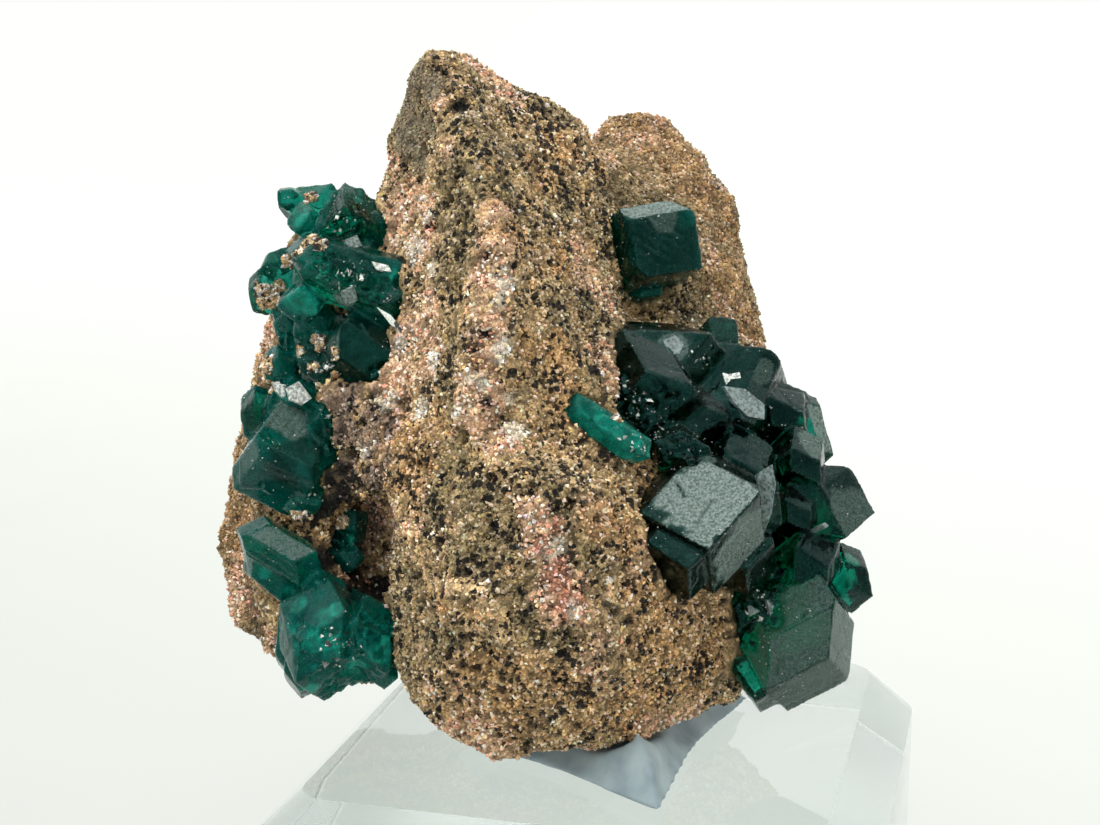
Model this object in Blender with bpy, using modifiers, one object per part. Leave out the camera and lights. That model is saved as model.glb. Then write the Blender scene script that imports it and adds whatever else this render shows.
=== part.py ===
# Dioptase crystals on a gritty sandstone matrix, standing on putty on a clear bevelled block.
# Millimetres are used for every size below and turned into metres once, by MM.
# X runs to the right across the front of the specimen, Y runs to its back, Z runs up.
# The origin is the centre of the block's underside.

import math
import random

import bmesh
import bpy
from mathutils import Matrix, Vector

MM = 0.001

# Driving sizes of the holder
BLOCK_SIDE = 50.0
BLOCK_HEIGHT = 20.0
BLOCK_BEVEL = 4.0
BLOCK_CORNER_RADIUS = 5.0
BLOCK_CORNER_SEGMENTS = 5
BLOCK_TURN = math.radians(-14.9)
GAP = 0.3

# Driving sizes of the putty pad: its four corners on the block, and how its side rises, each step
# as the share of the base outline and the height over it.
PUTTY_CORNERS = [(3.5, -20.3), (13.5, 5.0), (-6.0, 13.0), (-14.0, -5.5)]
PUTTY_SIDE_STEPS = 10
PUTTY_SIDE_HOLLOW = 0.9
PUTTY_PRESS_GAP = 0.45
PUTTY_RISE = [(1.0, 0.0), (0.94, 0.5), (0.895, 1.4), (0.87, 2.8), (0.6, 4.6), (0.25, 5.6)]

# Driving sizes of the rock surface
ROCK_VOXEL = 0.95
ROCK_TRIANGLES = 3900
LUMP_SIZE = 7.0
LUMP_HEIGHT = 1.7
KNOB_SIZE = 2.4
KNOB_HEIGHT = 0.9

# Crystal shape: the end faces of dioptase lean this far from the long axis
END_FACE_TILT = math.radians(51.0)
# How much one side face or end face may stand nearer or farther than the others, as a share
SIDE_LUCK = 0.1
END_LUCK = 0.06
CRYSTAL_WELD = 0.01

# The rock is six blunt masses grown into each other, each given by its corner points in mm.
# The front ridge of the specimen runs down PEAK_MASS into FRONT_MASS.
PEAK_MASS = [
    (-15.5, 3.0, 78.5), (-12.0, 6.0, 78.0), (-7.5, 8.5, 74.5), (-1.0, 13.0, 71.0),
    (-9.0, -9.0, 65.0), (-10.5, -11.0, 59.5), (-11.0, -14.0, 52.0), (-19.0, 7.5, 71.0),
    (-19.0, 6.5, 66.0), (-16.5, -4.0, 56.0), (-17.5, -5.0, 48.0), (-0.5, 8.5, 65.0),
    (0.0, 3.0, 55.5), (-1.0, -3.0, 47.0), (-15.0, 13.0, 76.5), (-7.0, 17.0, 72.5),
    (-19.0, 18.0, 60.0), (2.0, 20.0, 62.0), (2.0, 20.0, 46.0), (-19.0, 18.0, 46.0),
    (-9.5, -15.5, 43.0), (-15.0, -10.5, 43.0), (-4.5, -7.0, 59.0), (-4.5, -9.0, 52.0),
    (-4.0, -11.0, 45.0), (0.5, -10.5, 46.0), (-1.0, -9.5, 50.5),
]
FRONT_MASS = [
    (-18.5, -7.0, 47.0), (-10.5, -15.5, 49.0), (-4.5, -18.0, 47.0), (2.0, -13.5, 41.5),
    (-17.5, -10.5, 31.5), (-17.5, -11.0, 27.5), (-14.5, -14.0, 25.0), (-10.0, -14.5, 22.5),
    (-1.0, -13.5, 23.0), (7.5, -8.5, 24.0), (11.5, -4.5, 24.0), (-12.5, -19.0, 38.0),
    (-4.5, -20.0, 34.0), (3.5, -15.0, 32.5), (10.5, -6.5, 34.0), (11.0, 6.0, 24.5),
    (10.0, 14.0, 46.0), (-17.0, 12.0, 46.0), (-14.0, 10.0, 24.0), (6.0, 12.0, 24.5),
    (0.5, -10.5, 46.0),
]
RIGHT_MASS = [
    (0.0, 2.0, 55.5), (8.0, 3.5, 54.0), (12.5, 8.0, 54.0), (3.0, -5.5, 50.0),
    (9.5, -4.0, 48.0), (13.5, -2.0, 44.0), (11.0, -6.5, 40.0), (10.5, -7.0, 29.0),
    (16.5, 2.5, 40.0), (15.5, 3.0, 28.0), (12.0, 0.0, 24.0), (12.0, 17.0, 52.0),
    (13.5, 16.0, 30.0), (0.0, 18.0, 40.0), (8.0, 14.0, 26.0), (17.5, 4.0, 44.0),
    (18.0, 5.0, 36.0), (14.5, 6.0, 49.0),
]
BACK_RIGHT_MASS = [
    (0.5, 24.0, 72.5), (4.5, 25.5, 72.5), (9.0, 24.5, 69.5), (13.0, 23.5, 63.0),
    (14.0, 20.5, 56.0), (15.6, 17.5, 49.5), (-2.0, 17.0, 68.5), (0.0, 9.5, 58.0),
    (9.0, 13.0, 60.0), (-4.0, 27.0, 60.0), (6.0, 28.5, 58.0), (11.0, 27.0, 48.0),
    (10.0, 24.0, 34.0), (-6.0, 26.0, 36.0), (12.5, 12.0, 40.0), (4.5, 9.5, 61.5),
    (4.5, 8.5, 56.5),
]
BACK_LEFT_MASS = [
    (-29.0, 19.0, 61.5), (-32.0, 18.5, 54.5), (-32.0, 15.5, 49.5), (-34.0, 13.5, 42.0),
    (-36.0, 10.0, 35.0), (-35.0, 7.0, 27.5), (-31.0, 5.0, 24.5), (-28.5, 3.5, 24.5),
    (-20.0, 14.0, 64.0), (-17.0, 6.0, 25.5), (-24.0, 5.5, 44.0), (-25.0, 25.0, 58.0),
    (-12.0, 27.5, 62.0), (-31.0, 20.0, 38.0), (-25.0, 18.0, 27.0), (-10.0, 24.0, 30.0),
    (-22.0, 2.5, 34.0),
]
LEFT_MASS = [
    (-26.5, 8.0, 63.0), (-19.5, 6.0, 65.0), (-18.5, 1.5, 57.0), (-28.0, 5.0, 57.0),
    (-28.5, 3.0, 52.0), (-20.0, -3.5, 50.0), (-24.0, -1.5, 50.5), (-18.0, -5.5, 48.0),
    (-20.5, -3.5, 45.5), (-29.5, 1.5, 46.0), (-19.5, -1.0, 42.5),
    (-31.0, 1.5, 40.0), (-31.5, 0.5, 35.0), (-31.0, -0.5, 30.0), (-28.0, -2.0, 27.0),
    (-24.5, -3.5, 25.5), (-19.0, -5.5, 25.5), (-19.0, -3.5, 31.0), (-19.5, 1.0, 35.5),
    (-24.0, 16.0, 61.0), (-14.0, 14.0, 62.0), (-28.0, 14.0, 46.0), (-28.0, 11.0, 32.0),
    (-14.0, 12.0, 28.0), (-14.0, 14.0, 46.0),
]

# Scoops taken out of the rock: centre, half sizes, tilt about Y in degrees.
SCOOPS = [
    ((-16.8, 0.4, 72.0), (2.3, 3.2, 7.0), 10.0),
    ((-19.3, -5.6, 38.5), (2.6, 4.2, 4.6), 0.0),
    ((-21.2, -0.9, 37.1), (3.0, 4.6, 4.2), 15.0),
    ((-20.2, -2.7, 33.3), (2.0, 4.0, 2.6), -20.0),
    ((-3.0, -21.5, 41.5), (2.8, 2.4, 2.0), 25.0),
    ((0.5, 13.5, 70.5), (2.4, 4.0, 2.4), 0.0),
]

# Crystals, in mm and degrees. Each is (centre, long axis, side face, half width, length).
# The long axis and the way that one side face looks are (turn, lean): turn as seen from the front,
# from the right towards the top, and lean out towards the viewer.
RIGHT_CLUSTER = {
    "top_band": ((4.1, -0.1, 52.6), (-3, 4), (87, 60), 3.0, 12.2),
    "top_mass": ((2.5, -2.6, 49.6), (-16, 5), (74, 84), 4.7, 13.4),
    "top_low": ((6.3, -3.1, 47.8), (-22, 8), (68, 76), 3.0, 10.0),
    "top_ridge": ((10.3, -0.1, 49.5), (119, -8), (-151, 65), 4.4, 11.6),
    "top_corner": ((9.0, 2.8, 53.7), (50, 5), (140, 40), 1.8, 5.4),
    "dark_slot": ((14.2, -1.0, 47.8), (100, -8), (0, 72), 2.3, 7.0),
    "pale_foot": ((15.9, 1.0, 47.9), (108, 0), (20, 60), 1.2, 4.8),
    "pale_edge": ((17.2, 1.2, 46.3), (106, -4), (20, 55), 1.3, 6.8),
    "rough_seam": ((5.4, -7.0, 46.1), (-30, 20), (60, 60), 1.9, 7.0),
    "round": ((10.3, -4.9, 44.3), (94, -6), (0, 84), 2.8, 8.0),
    "thin_face": ((12.2, -7.3, 42.5), (-84, 6), (30, 50), 1.3, 6.2),
    "pair_upper": ((15.3, -3.8, 44.7), (95, -5), (0, 76), 2.3, 6.4),
    "pair_lower": ((14.9, -5.1, 40.9), (95, -5), (0, 82), 1.8, 5.4),
    "right_point": ((17.4, -2.7, 40.6), (-3, 10), (88, 26), 3.3, 9.4),
    "front_large": ((7.1, -9.3, 41.4), (-92, 87), (70, 0), 4.7, 14.0),
    "front_left": ((5.4, -10.3, 39.5), (-92, 87), (66, 0), 3.1, 12.0),
    "front_foot": ((10.6, -7.4, 37.7), (92, 87), (70, 0), 2.6, 8.0),
    "low_large": ((15.3, -5.9, 30.6), (-93, 4), (180, 30), 4.6, 14.0),
    "low_top": ((16.1, -5.2, 36.2), (-92, 4), (0, 86), 2.6, 8.0),
    "low_right": ((19.9, -3.0, 34.5), (-78, 8), (0, 60), 2.0, 6.6),
    "low_left": ((12.0, -6.8, 33.2), (100, -6), (0, 60), 2.0, 6.5),
    "low_foot": ((12.6, -7.6, 27.4), (-95, 4), (180, 40), 2.4, 6.4),
    "core": ((13.6, 1.0, 38.4), (-75, 5), (10, 0), 5.2, 17.0),
    "upper_core": ((10.8, 3.1, 45.8), (119, -5), (-151, 65), 5.0, 13.0),
}
GREEN_SPLINTER = {
    "splinter": ((-0.7, -10.3, 49.1), (-33, 12), (50, 0), 1.25, 8.6),
}
UPPER_RIGHT = {
    "prism": ((3.6, 7.1, 61.1), (-20, 27), (88, 22), 4.2, 10.4),
    "side": ((1.0, 9.1, 61.0), (-20, 27), (88, 22), 3.2, 7.4),
    "lower": ((2.8, 9.4, 57.6), (-20, 27), (88, 22), 1.6, 5.0),
}
LEFT_CLUSTER = {
    "top_main": ((-22.5, 5.1, 63.7), (94, -6), (0, 60), 2.9, 6.8),
    "top_right_end": ((-20.4, 4.9, 63.0), (-35, 8), (60, 40), 1.6, 5.0),
    "top_tip": ((-21.8, 6.0, 65.4), (60, 10), (150, 30), 0.8, 2.8),
    "top_rim": ((-25.7, 6.9, 65.0), (8, 10), (98, 30), 1.5, 6.2),
    "top_green_a": ((-27.5, 6.0, 65.5), (140, 35), (50, 0), 1.0, 3.2),
    "top_green_b": ((-26.0, 4.1, 63.9), (-120, 60), (80, 0), 1.2, 4.0),
    "top_green_c": ((-21.8, 2.6, 62.0), (-100, 60), (10, 0), 0.8, 3.2),
    "layered": ((-21.7, 1.2, 60.2), (-13, 8), (77, 62), 1.9, 12.0),
    "layered_top": ((-23.4, 2.9, 60.9), (-6, 8), (84, 55), 1.5, 9.0),
    "layered_middle": ((-21.9, 0.4, 59.0), (-16, 10), (74, 62), 2.0, 10.4),
    "layered_low": ((-19.8, -0.3, 58.1), (-20, 10), (70, 62), 1.7, 8.0),
    "emerald": ((-25.7, -0.4, 57.7), (80, -10), (0, 70), 1.7, 4.6),
    "above_emerald": ((-25.5, 2.1, 59.7), (60, 10), (150, 30), 1.3, 4.4),
    "rim_upper": ((-29.8, 4.7, 57.5), (98, 6), (0, 60), 1.2, 4.6),
    "rim_crest": ((-28.3, 5.3, 60.1), (20, 8), (110, 50), 1.1, 4.4),
    "rim_band": ((-27.9, 6.3, 57.6), (-60, 5), (30, 30), 1.3, 7.0),
    "dark_face": ((-20.6, 0.7, 53.2), (86, -6), (0, 86), 3.7, 10.5),
    "dark_upper": ((-24.9, 0.7, 55.5), (84, -10), (0, 70), 1.6, 4.8),
    "dark_low": ((-24.5, -0.1, 51.9), (100, -8), (180, 70), 1.6, 4.8),
    "dark_join": ((-24.7, 3.2, 53.2), (90, 0), (0, 80), 2.4, 8.5),
    "rim_lower": ((-28.0, 1.9, 51.6), (96, 5), (0, 60), 1.4, 4.8),
    "rim_join": ((-26.8, 4.3, 53.1), (105, 5), (0, 60), 1.6, 9.5),
    "middle_large": ((-27.4, -1.3, 44.4), (94, -10), (0, 80), 3.9, 10.6),
    "middle_upper": ((-27.9, 1.5, 47.6), (98, -4), (0, 80), 2.3, 6.4),
    "middle_left": ((-29.9, 1.5, 47.5), (97, 0), (0, 60), 1.5, 5.6),
    "middle_flash": ((-26.5, 0.9, 49.6), (-30, 45), (70, 0), 1.3, 4.6),
    "middle_jagged": ((-23.6, -0.9, 46.1), (98, -8), (0, 60), 1.6, 7.5),
    "middle_foot": ((-25.8, -2.5, 41.1), (104, -8), (0, 70), 1.7, 4.4),
}
LOWER_LEFT = {
    "blade": ((-27.8, -3.9, 37.1), (-28, 10), (62, 55), 1.7, 8.6),
    "blade_low": ((-28.5, -2.9, 34.8), (-38, 10), (52, 40), 1.6, 6.8),
    "body": ((-23.9, -6.5, 30.2), (-92, 6), (180, 30), 3.4, 11.2),
    "upper": ((-24.5, -4.8, 33.1), (-92, 6), (0, 70), 2.1, 5.8),
    "right_step": ((-20.4, -6.5, 30.2), (-90, 6), (0, 72), 2.4, 8.2),
    "left_step": ((-26.4, -4.6, 29.7), (-96, 5), (180, 60), 1.6, 7.6),
    "foot": ((-25.6, -6.1, 27.3), (-98, 8), (180, 60), 1.7, 5.2),
    "right_low": ((-19.2, -6.4, 28.2), (-84, 8), (0, 55), 1.3, 5.0),
    "core": ((-23.0, -2.1, 29.3), (-90, 0), (0, 80), 3.6, 9.6),
}
POCKET_DRUSE = {
    "upper": ((-22.7, 0.8, 37.5), (60, 30), (150, 30), 1.5, 6.0),
    "lower": ((-23.4, 0.2, 35.2), (10, 25), (100, 40), 1.4, 6.0),
    "between": ((-23.2, 2.5, 35.9), (90, 30), (20, 0), 1.5, 5.0),
}
CLUSTERS = {
    "crystal_cluster_right": RIGHT_CLUSTER,
    "crystal_green_splinter": GREEN_SPLINTER,
    "crystal_upper_right": UPPER_RIGHT,
    "crystal_cluster_left": LEFT_CLUSTER,
    "crystal_cluster_lower_left": LOWER_LEFT,
    "crystal_pocket_druse": POCKET_DRUSE,
}

# Colours, roughness and metallic value
MATERIALS = {
    "sandstone": ((0.33, 0.22, 0.12, 1.0), 0.95),
    "dioptase": ((0.004, 0.09, 0.07, 1.0), 0.12),
    "putty": ((0.32, 0.38, 0.42, 1.0), 0.6),
    "clear_block": ((0.85, 0.93, 0.9, 1.0), 0.05),
}


def clear_scene():
    for obj in list(bpy.data.objects):
        bpy.data.objects.remove(obj)


def new_collection(name, hidden=False):
    collection = bpy.data.collections.new(name)
    bpy.context.scene.collection.children.link(collection)
    collection.hide_render = hidden
    return collection


def make_material(name):
    colour, roughness = MATERIALS[name]
    material = bpy.data.materials.new(name)
    material.use_nodes = True
    shader = material.node_tree.nodes["Principled BSDF"]
    shader.inputs["Base Color"].default_value = colour
    shader.inputs["Roughness"].default_value = roughness
    shader.inputs["Metallic"].default_value = 0.0
    return material


def object_from_bmesh(name, bm, collection):
    mesh = bpy.data.meshes.new(name)
    bm.to_mesh(mesh)
    bm.free()
    obj = bpy.data.objects.new(name, mesh)
    collection.objects.link(obj)
    return obj


def applied(obj, name, collection):
    """A new object holding obj's mesh with its modifiers applied; obj is removed."""
    bpy.context.view_layer.update()
    graph = bpy.context.evaluated_depsgraph_get()
    mesh = bpy.data.meshes.new_from_object(obj.evaluated_get(graph))
    made = bpy.data.objects.new(name, mesh)
    made.matrix_world = obj.matrix_world
    collection.objects.link(made)
    bpy.data.objects.remove(obj)
    return made


def as_cutter(obj):
    obj.hide_render = True
    obj.display_type = "WIRE"
    return obj


def boolean(obj, other, operation):
    modifier = obj.modifiers.new(operation.lower(), "BOOLEAN")
    modifier.object = other
    modifier.operation = operation
    return modifier


def triangle_count(obj):
    """Triangles in obj's surface once its modifiers have run."""
    bpy.context.view_layer.update()
    evaluated = obj.evaluated_get(bpy.context.evaluated_depsgraph_get())
    mesh = evaluated.to_mesh()
    mesh.calc_loop_triangles()
    count = len(mesh.loop_triangles)
    evaluated.to_mesh_clear()
    return count


def hull_into(bm, corners):
    """Adds the blunt mass spanned by the corner points to bm, as one closed shell."""
    points = [bm.verts.new(Vector(corner) * MM) for corner in corners]
    hull = bmesh.ops.convex_hull(bm, input=points, use_existing_faces=False)
    spare = [item for item in hull["geom_interior"] if isinstance(item, bmesh.types.BMVert)]
    bmesh.ops.delete(bm, geom=spare, context="VERTS")


def noise_texture(name, kind, size):
    texture = bpy.data.textures.new(name, kind)
    texture.noise_scale = size * MM
    return texture


def displace(obj, texture, height, middle=0.5):
    modifier = obj.modifiers.new("displace", "DISPLACE")
    modifier.texture = texture
    modifier.strength = height * MM
    modifier.mid_level = middle
    return modifier


def rock_solid(parts, cutters):
    """The matrix before its crystal seats are cut: masses melted together, scooped and roughened."""
    bm = bmesh.new()
    for corners in (PEAK_MASS, FRONT_MASS, RIGHT_MASS, BACK_RIGHT_MASS, BACK_LEFT_MASS, LEFT_MASS):
        hull_into(bm, corners)
    bmesh.ops.recalc_face_normals(bm, faces=bm.faces)
    rough = object_from_bmesh("rough_masses", bm, cutters)

    melt = rough.modifiers.new("melt", "REMESH")
    melt.mode = "VOXEL"
    melt.voxel_size = ROCK_VOXEL * MM
    for number, (centre, half_sizes, tilt) in enumerate(SCOOPS):
        scoop_mesh = bmesh.new()
        place = (
            Matrix.Translation(Vector(centre) * MM)
            @ Matrix.Rotation(math.radians(tilt), 4, "Y")
            @ Matrix.Diagonal((*(Vector(half_sizes) * MM), 1.0))
        )
        bmesh.ops.create_uvsphere(scoop_mesh, u_segments=16, v_segments=10, radius=1.0, matrix=place)
        scoop = as_cutter(object_from_bmesh(f"scoop_{number}", scoop_mesh, cutters))
        boolean(rough, scoop, "DIFFERENCE")
    settle = rough.modifiers.new("settle", "REMESH")
    settle.mode = "VOXEL"
    settle.voxel_size = ROCK_VOXEL * MM
    soften = rough.modifiers.new("soften", "SMOOTH")
    soften.iterations = 2
    lumps = noise_texture("lumps", "CLOUDS", LUMP_SIZE)
    displace(rough, lumps, LUMP_HEIGHT)
    knobs = noise_texture("knobs", "VORONOI", KNOB_SIZE)
    knobs.distance_metric = "DISTANCE"
    displace(rough, knobs, KNOB_HEIGHT)
    thin_out = rough.modifiers.new("thin_out", "DECIMATE")
    thin_out.use_collapse_triangulate = True
    thin_out.ratio = ROCK_TRIANGLES / triangle_count(rough)
    return applied(rough, "rock_body", parts)


def seen_from_front(turn, lean):
    """The direction at this turn in the front view, leaned towards the viewer; both in degrees."""
    turn, lean = math.radians(turn), math.radians(lean)
    return Vector((math.cos(turn) * math.cos(lean), -math.sin(lean), math.sin(turn) * math.cos(lean)))


def growth_planes(half_width, length, luck, grow):
    """The twelve faces of a dioptase crystal about its centre: (normal, distance) pairs.

    Six side faces stand round the long axis. Three faces close each end, each above an edge
    between two sides, and those of one end sit between those of the other.
    """
    planes = []
    for side in range(6):
        turn = math.radians(60 * side)
        normal = Vector((math.cos(turn), math.sin(turn), 0.0))
        planes.append((normal, half_width * luck.uniform(1.0 - SIDE_LUCK, 1.0 + SIDE_LUCK) + grow))
    reach = length / 2 * math.cos(END_FACE_TILT)
    for end, first in ((1, 30), (-1, 90)):
        for third in range(3):
            turn = math.radians(first + 120 * third)
            out = math.sin(END_FACE_TILT)
            normal = Vector((out * math.cos(turn), out * math.sin(turn), end * math.cos(END_FACE_TILT)))
            planes.append((normal, reach * luck.uniform(1.0 - END_LUCK, 1.0 + END_LUCK) + grow))
    return planes


def crystal_bmesh(name, spec, grow=0.0):
    """A block cut back by the twelve growth faces, then turned to its axis and moved in place."""
    centre, long_axis, side_face, half_width, length = spec
    luck = random.Random(name)
    bm = bmesh.new()
    bmesh.ops.create_cube(bm, size=4.0 * length * MM)
    for normal, distance in growth_planes(half_width, length, luck, grow):
        everything = list(bm.verts) + list(bm.edges) + list(bm.faces)
        bmesh.ops.bisect_plane(
            bm, geom=everything, plane_co=normal * distance * MM, plane_no=normal, clear_outer=True
        )
        rim = [edge for edge in bm.edges if edge.is_boundary]
        bmesh.ops.holes_fill(bm, edges=rim)
    along = seen_from_front(*long_axis)
    across = seen_from_front(*side_face)
    across = (across - across.dot(along) * along).normalized()
    turned = Matrix((across, along.cross(across), along)).transposed().to_4x4()
    bm.transform(Matrix.Translation(Vector(centre) * MM) @ turned)
    bmesh.ops.remove_doubles(bm, verts=bm.verts, dist=CRYSTAL_WELD * MM)
    bmesh.ops.recalc_face_normals(bm, faces=bm.faces)
    if bm.calc_volume(signed=True) < 0.0:
        bmesh.ops.reverse_faces(bm, faces=bm.faces)
    return bm


def crystal_cluster(name, crystals, parts, cutters):
    """One solid of the crystals that grew into each other."""
    members = [
        object_from_bmesh(f"{name}_{label}", crystal_bmesh(f"{name}_{label}", spec), cutters)
        for label, spec in crystals.items()
    ]
    first = members[0]
    for other in members[1:]:
        boolean(first, as_cutter(other), "UNION")
    return applied(first, name, parts)


def cut_seats(rock, cutters):
    """Takes each crystal, a little enlarged, out of the rock, so that it sits in its own seat."""
    for name, crystals in CLUSTERS.items():
        for label, spec in crystals.items():
            seat = crystal_bmesh(f"{name}_{label}", spec, grow=GAP)
            boolean(rock, as_cutter(object_from_bmesh(f"seat_{name}_{label}", seat, cutters)), "DIFFERENCE")


def keep_largest_body(obj):
    """Drops the crumbs left standing between two seats, so that the rock is one body."""
    bm = bmesh.new()
    bm.from_mesh(obj.data)
    unseen = set(bm.verts)
    bodies = []
    while unseen:
        body = [unseen.pop()]
        for vert in body:
            near = {edge.other_vert(vert) for edge in vert.link_edges} & unseen
            unseen -= near
            body.extend(near)
        bodies.append(body)
    largest = max(bodies, key=len)
    for body in bodies:
        if body is not largest:
            bmesh.ops.delete(bm, geom=body, context="VERTS")
    bm.to_mesh(obj.data)
    bm.free()


def putty_ring(share, height):
    """The pad's outline at one height, shrunk to a share of the base and hollowed between corners."""
    centre = sum((Vector(corner) for corner in PUTTY_CORNERS), Vector((0.0, 0.0))) / len(PUTTY_CORNERS)
    ring = []
    for corner, following in zip(PUTTY_CORNERS, PUTTY_CORNERS[1:] + PUTTY_CORNERS[:1]):
        start, end = Vector(corner), Vector(following)
        for step in range(PUTTY_SIDE_STEPS):
            part = step / PUTTY_SIDE_STEPS
            point = start.lerp(end, part)
            inward = (centre - point).normalized()
            bow = 4.0 * part * (1.0 - part)
            point += inward * PUTTY_SIDE_HOLLOW * bow * (1.0 + height)
            point = centre.lerp(point, share)
            ring.append(Vector((point.x, point.y, BLOCK_HEIGHT + GAP + height)) * MM)
    return ring


def putty_pad(parts, cutters, rock):
    """A soft pad between block and rock: hollow sides, pulled corners, its top pressed by the rock."""
    bm = bmesh.new()
    rings = [[bm.verts.new(place) for place in putty_ring(*rise)] for rise in PUTTY_RISE]
    for lower, upper in zip(rings, rings[1:]):
        for step in range(len(lower)):
            after = (step + 1) % len(lower)
            bm.faces.new((lower[step], lower[after], upper[after], upper[step]))
    bm.faces.new(rings[-1])
    bm.faces.new(rings[0][::-1])
    pad = object_from_bmesh("putty_pad", bm, cutters)
    press = bpy.data.objects.new("press", rock.data.copy())
    cutters.objects.link(press)
    displace(press, None, PUTTY_PRESS_GAP, middle=0.0)
    boolean(pad, as_cutter(press), "DIFFERENCE")
    return applied(pad, "putty", parts)


def display_block(parts):
    """A clear square block with round upright corners and a wide bevel round its top."""
    bm = bmesh.new()
    bmesh.ops.create_cube(bm, size=1.0)
    bm.transform(
        Matrix.Translation((0, 0, BLOCK_HEIGHT / 2 * MM))
        @ Matrix.Diagonal((BLOCK_SIDE * MM, BLOCK_SIDE * MM, BLOCK_HEIGHT * MM, 1.0))
    )
    upright = [edge for edge in bm.edges if abs(edge.verts[0].co.z - edge.verts[1].co.z) > MM]
    bmesh.ops.bevel(
        bm, geom=upright, offset=BLOCK_CORNER_RADIUS * MM, offset_type="OFFSET",
        segments=BLOCK_CORNER_SEGMENTS, profile=0.5, affect="EDGES",
    )
    top = max(bm.faces, key=lambda face: face.calc_center_median().z)
    bmesh.ops.bevel(
        bm, geom=list(top.edges), offset=BLOCK_BEVEL * MM, offset_type="OFFSET", segments=1,
        profile=0.5, affect="EDGES",
    )
    block = object_from_bmesh("display_block", bm, parts)
    block.rotation_euler.z = BLOCK_TURN
    return block


def main():
    clear_scene()
    parts = new_collection("dioptase_specimen")
    cutters = new_collection("cutters", hidden=True)
    sandstone = make_material("sandstone")
    dioptase = make_material("dioptase")
    putty = make_material("putty")
    clear_block = make_material("clear_block")

    rock = rock_solid(parts, cutters)
    putty_pad(parts, cutters, rock).data.materials.append(putty)
    rock.data.materials.append(sandstone)
    cut_seats(rock, cutters)
    keep_largest_body(applied(rock, "matrix_rock", parts))
    for name, crystals in CLUSTERS.items():
        crystal_cluster(name, crystals, parts, cutters).data.materials.append(dioptase)
    display_block(parts).data.materials.append(clear_block)


main()
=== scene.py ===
# Looks of the dioptase specimen: gritty rock, dark green crystals, putty and a clear block.
# Sizes in the dictionaries are in millimetres where no note says otherwise; a mesh gets metres.
# The listed places were picked by eye in the photograph as pixels, and a separate scratch program
# carried them on to the solids by rays from the camera and printed them in millimetres.
import math

import bmesh
import bpy
import numpy as np
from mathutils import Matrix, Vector


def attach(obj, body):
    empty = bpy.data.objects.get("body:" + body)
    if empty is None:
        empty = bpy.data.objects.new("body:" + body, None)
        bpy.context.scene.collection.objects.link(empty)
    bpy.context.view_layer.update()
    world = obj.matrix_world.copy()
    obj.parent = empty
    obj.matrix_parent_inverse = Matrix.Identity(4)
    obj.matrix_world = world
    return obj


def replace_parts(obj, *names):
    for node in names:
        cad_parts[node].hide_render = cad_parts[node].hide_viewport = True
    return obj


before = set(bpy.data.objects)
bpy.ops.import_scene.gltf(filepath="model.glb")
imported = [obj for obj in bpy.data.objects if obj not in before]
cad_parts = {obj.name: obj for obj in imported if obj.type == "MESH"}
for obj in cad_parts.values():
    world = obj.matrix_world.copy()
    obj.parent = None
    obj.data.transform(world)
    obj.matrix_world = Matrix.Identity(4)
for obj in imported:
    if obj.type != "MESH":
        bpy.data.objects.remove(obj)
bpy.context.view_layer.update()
mm = 0.001
coarse = 1.0  # wider nets and fewer grains while trying things


# Numbers: noise and nets as whole arrays


def linear(red, green, blue):
    # colour picked on a screen, 0 to 255, turned to light: ((c + 0.055) / 1.055) ^ 2.4
    screen = np.array((red, green, blue)) / 255.0
    return np.where(screen <= 0.04045, screen / 12.92, ((screen + 0.055) / 1.055) ** 2.4)


def smooth(low, high, values):
    # 3 t^2 - 2 t^3, where t runs from 0 at low to 1 at high
    t = np.clip((values - low) / (high - low), 0.0, 1.0)
    return t * t * (3.0 - 2.0 * t)


def unit(ways):
    # every row divided by its length
    return ways / np.maximum(np.linalg.norm(ways, axis=1, keepdims=True), 1e-12)


def apart(points, place):
    # the distance of each point from the place
    return np.sqrt(((points - place) ** 2).sum(axis=1))


def cellNumber(cells, seed):
    # a random number from 0 to 1 for each whole-number cell: x, y and z times primes, mixed twice
    x, y, z = (cells[..., axis].astype(np.int64) & 0xFFFFFF for axis in range(3))
    mixed = (x * 73856093) ^ (y * 19349663) ^ (z * 83492791) ^ (seed * 40503 + 977)
    mixed = ((mixed & 0xFFFFFFFF) * 2246822519) & 0xFFFFFFFFFFFF
    mixed = ((mixed ^ (mixed >> 15)) * 3266489917) & 0xFFFFFFFFFFFF
    return ((mixed ^ (mixed >> 13)) & 0xFFFFF) / float(0xFFFFF)


def cloud(points, size, seed):
    # value noise: cell numbers at the eight corners of a cube of that size, weighed by 3t^2 - 2t^3
    spot = points / size
    low = np.floor(spot)
    part = spot - low
    part = part * part * (3.0 - 2.0 * part)
    total = np.zeros(len(points))
    for corner in range(8):
        step = np.array([(corner >> axis) & 1 for axis in range(3)])
        weight = np.where(step, part, 1.0 - part).prod(axis=1)
        total += weight * cellNumber(low + step, seed)
    return total


def clouds(points, size, seed, layers=3):
    # the sum of value noises, each half the size and 0.55 the strength of the last, scaled to 0..1
    total, strength, whole = np.zeros(len(points)), 1.0, 0.0
    for layer in range(layers):
        total += strength * cloud(points, size / 2.0**layer, seed + layer)
        whole += strength
        strength *= 0.55
    return total / whole


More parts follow.
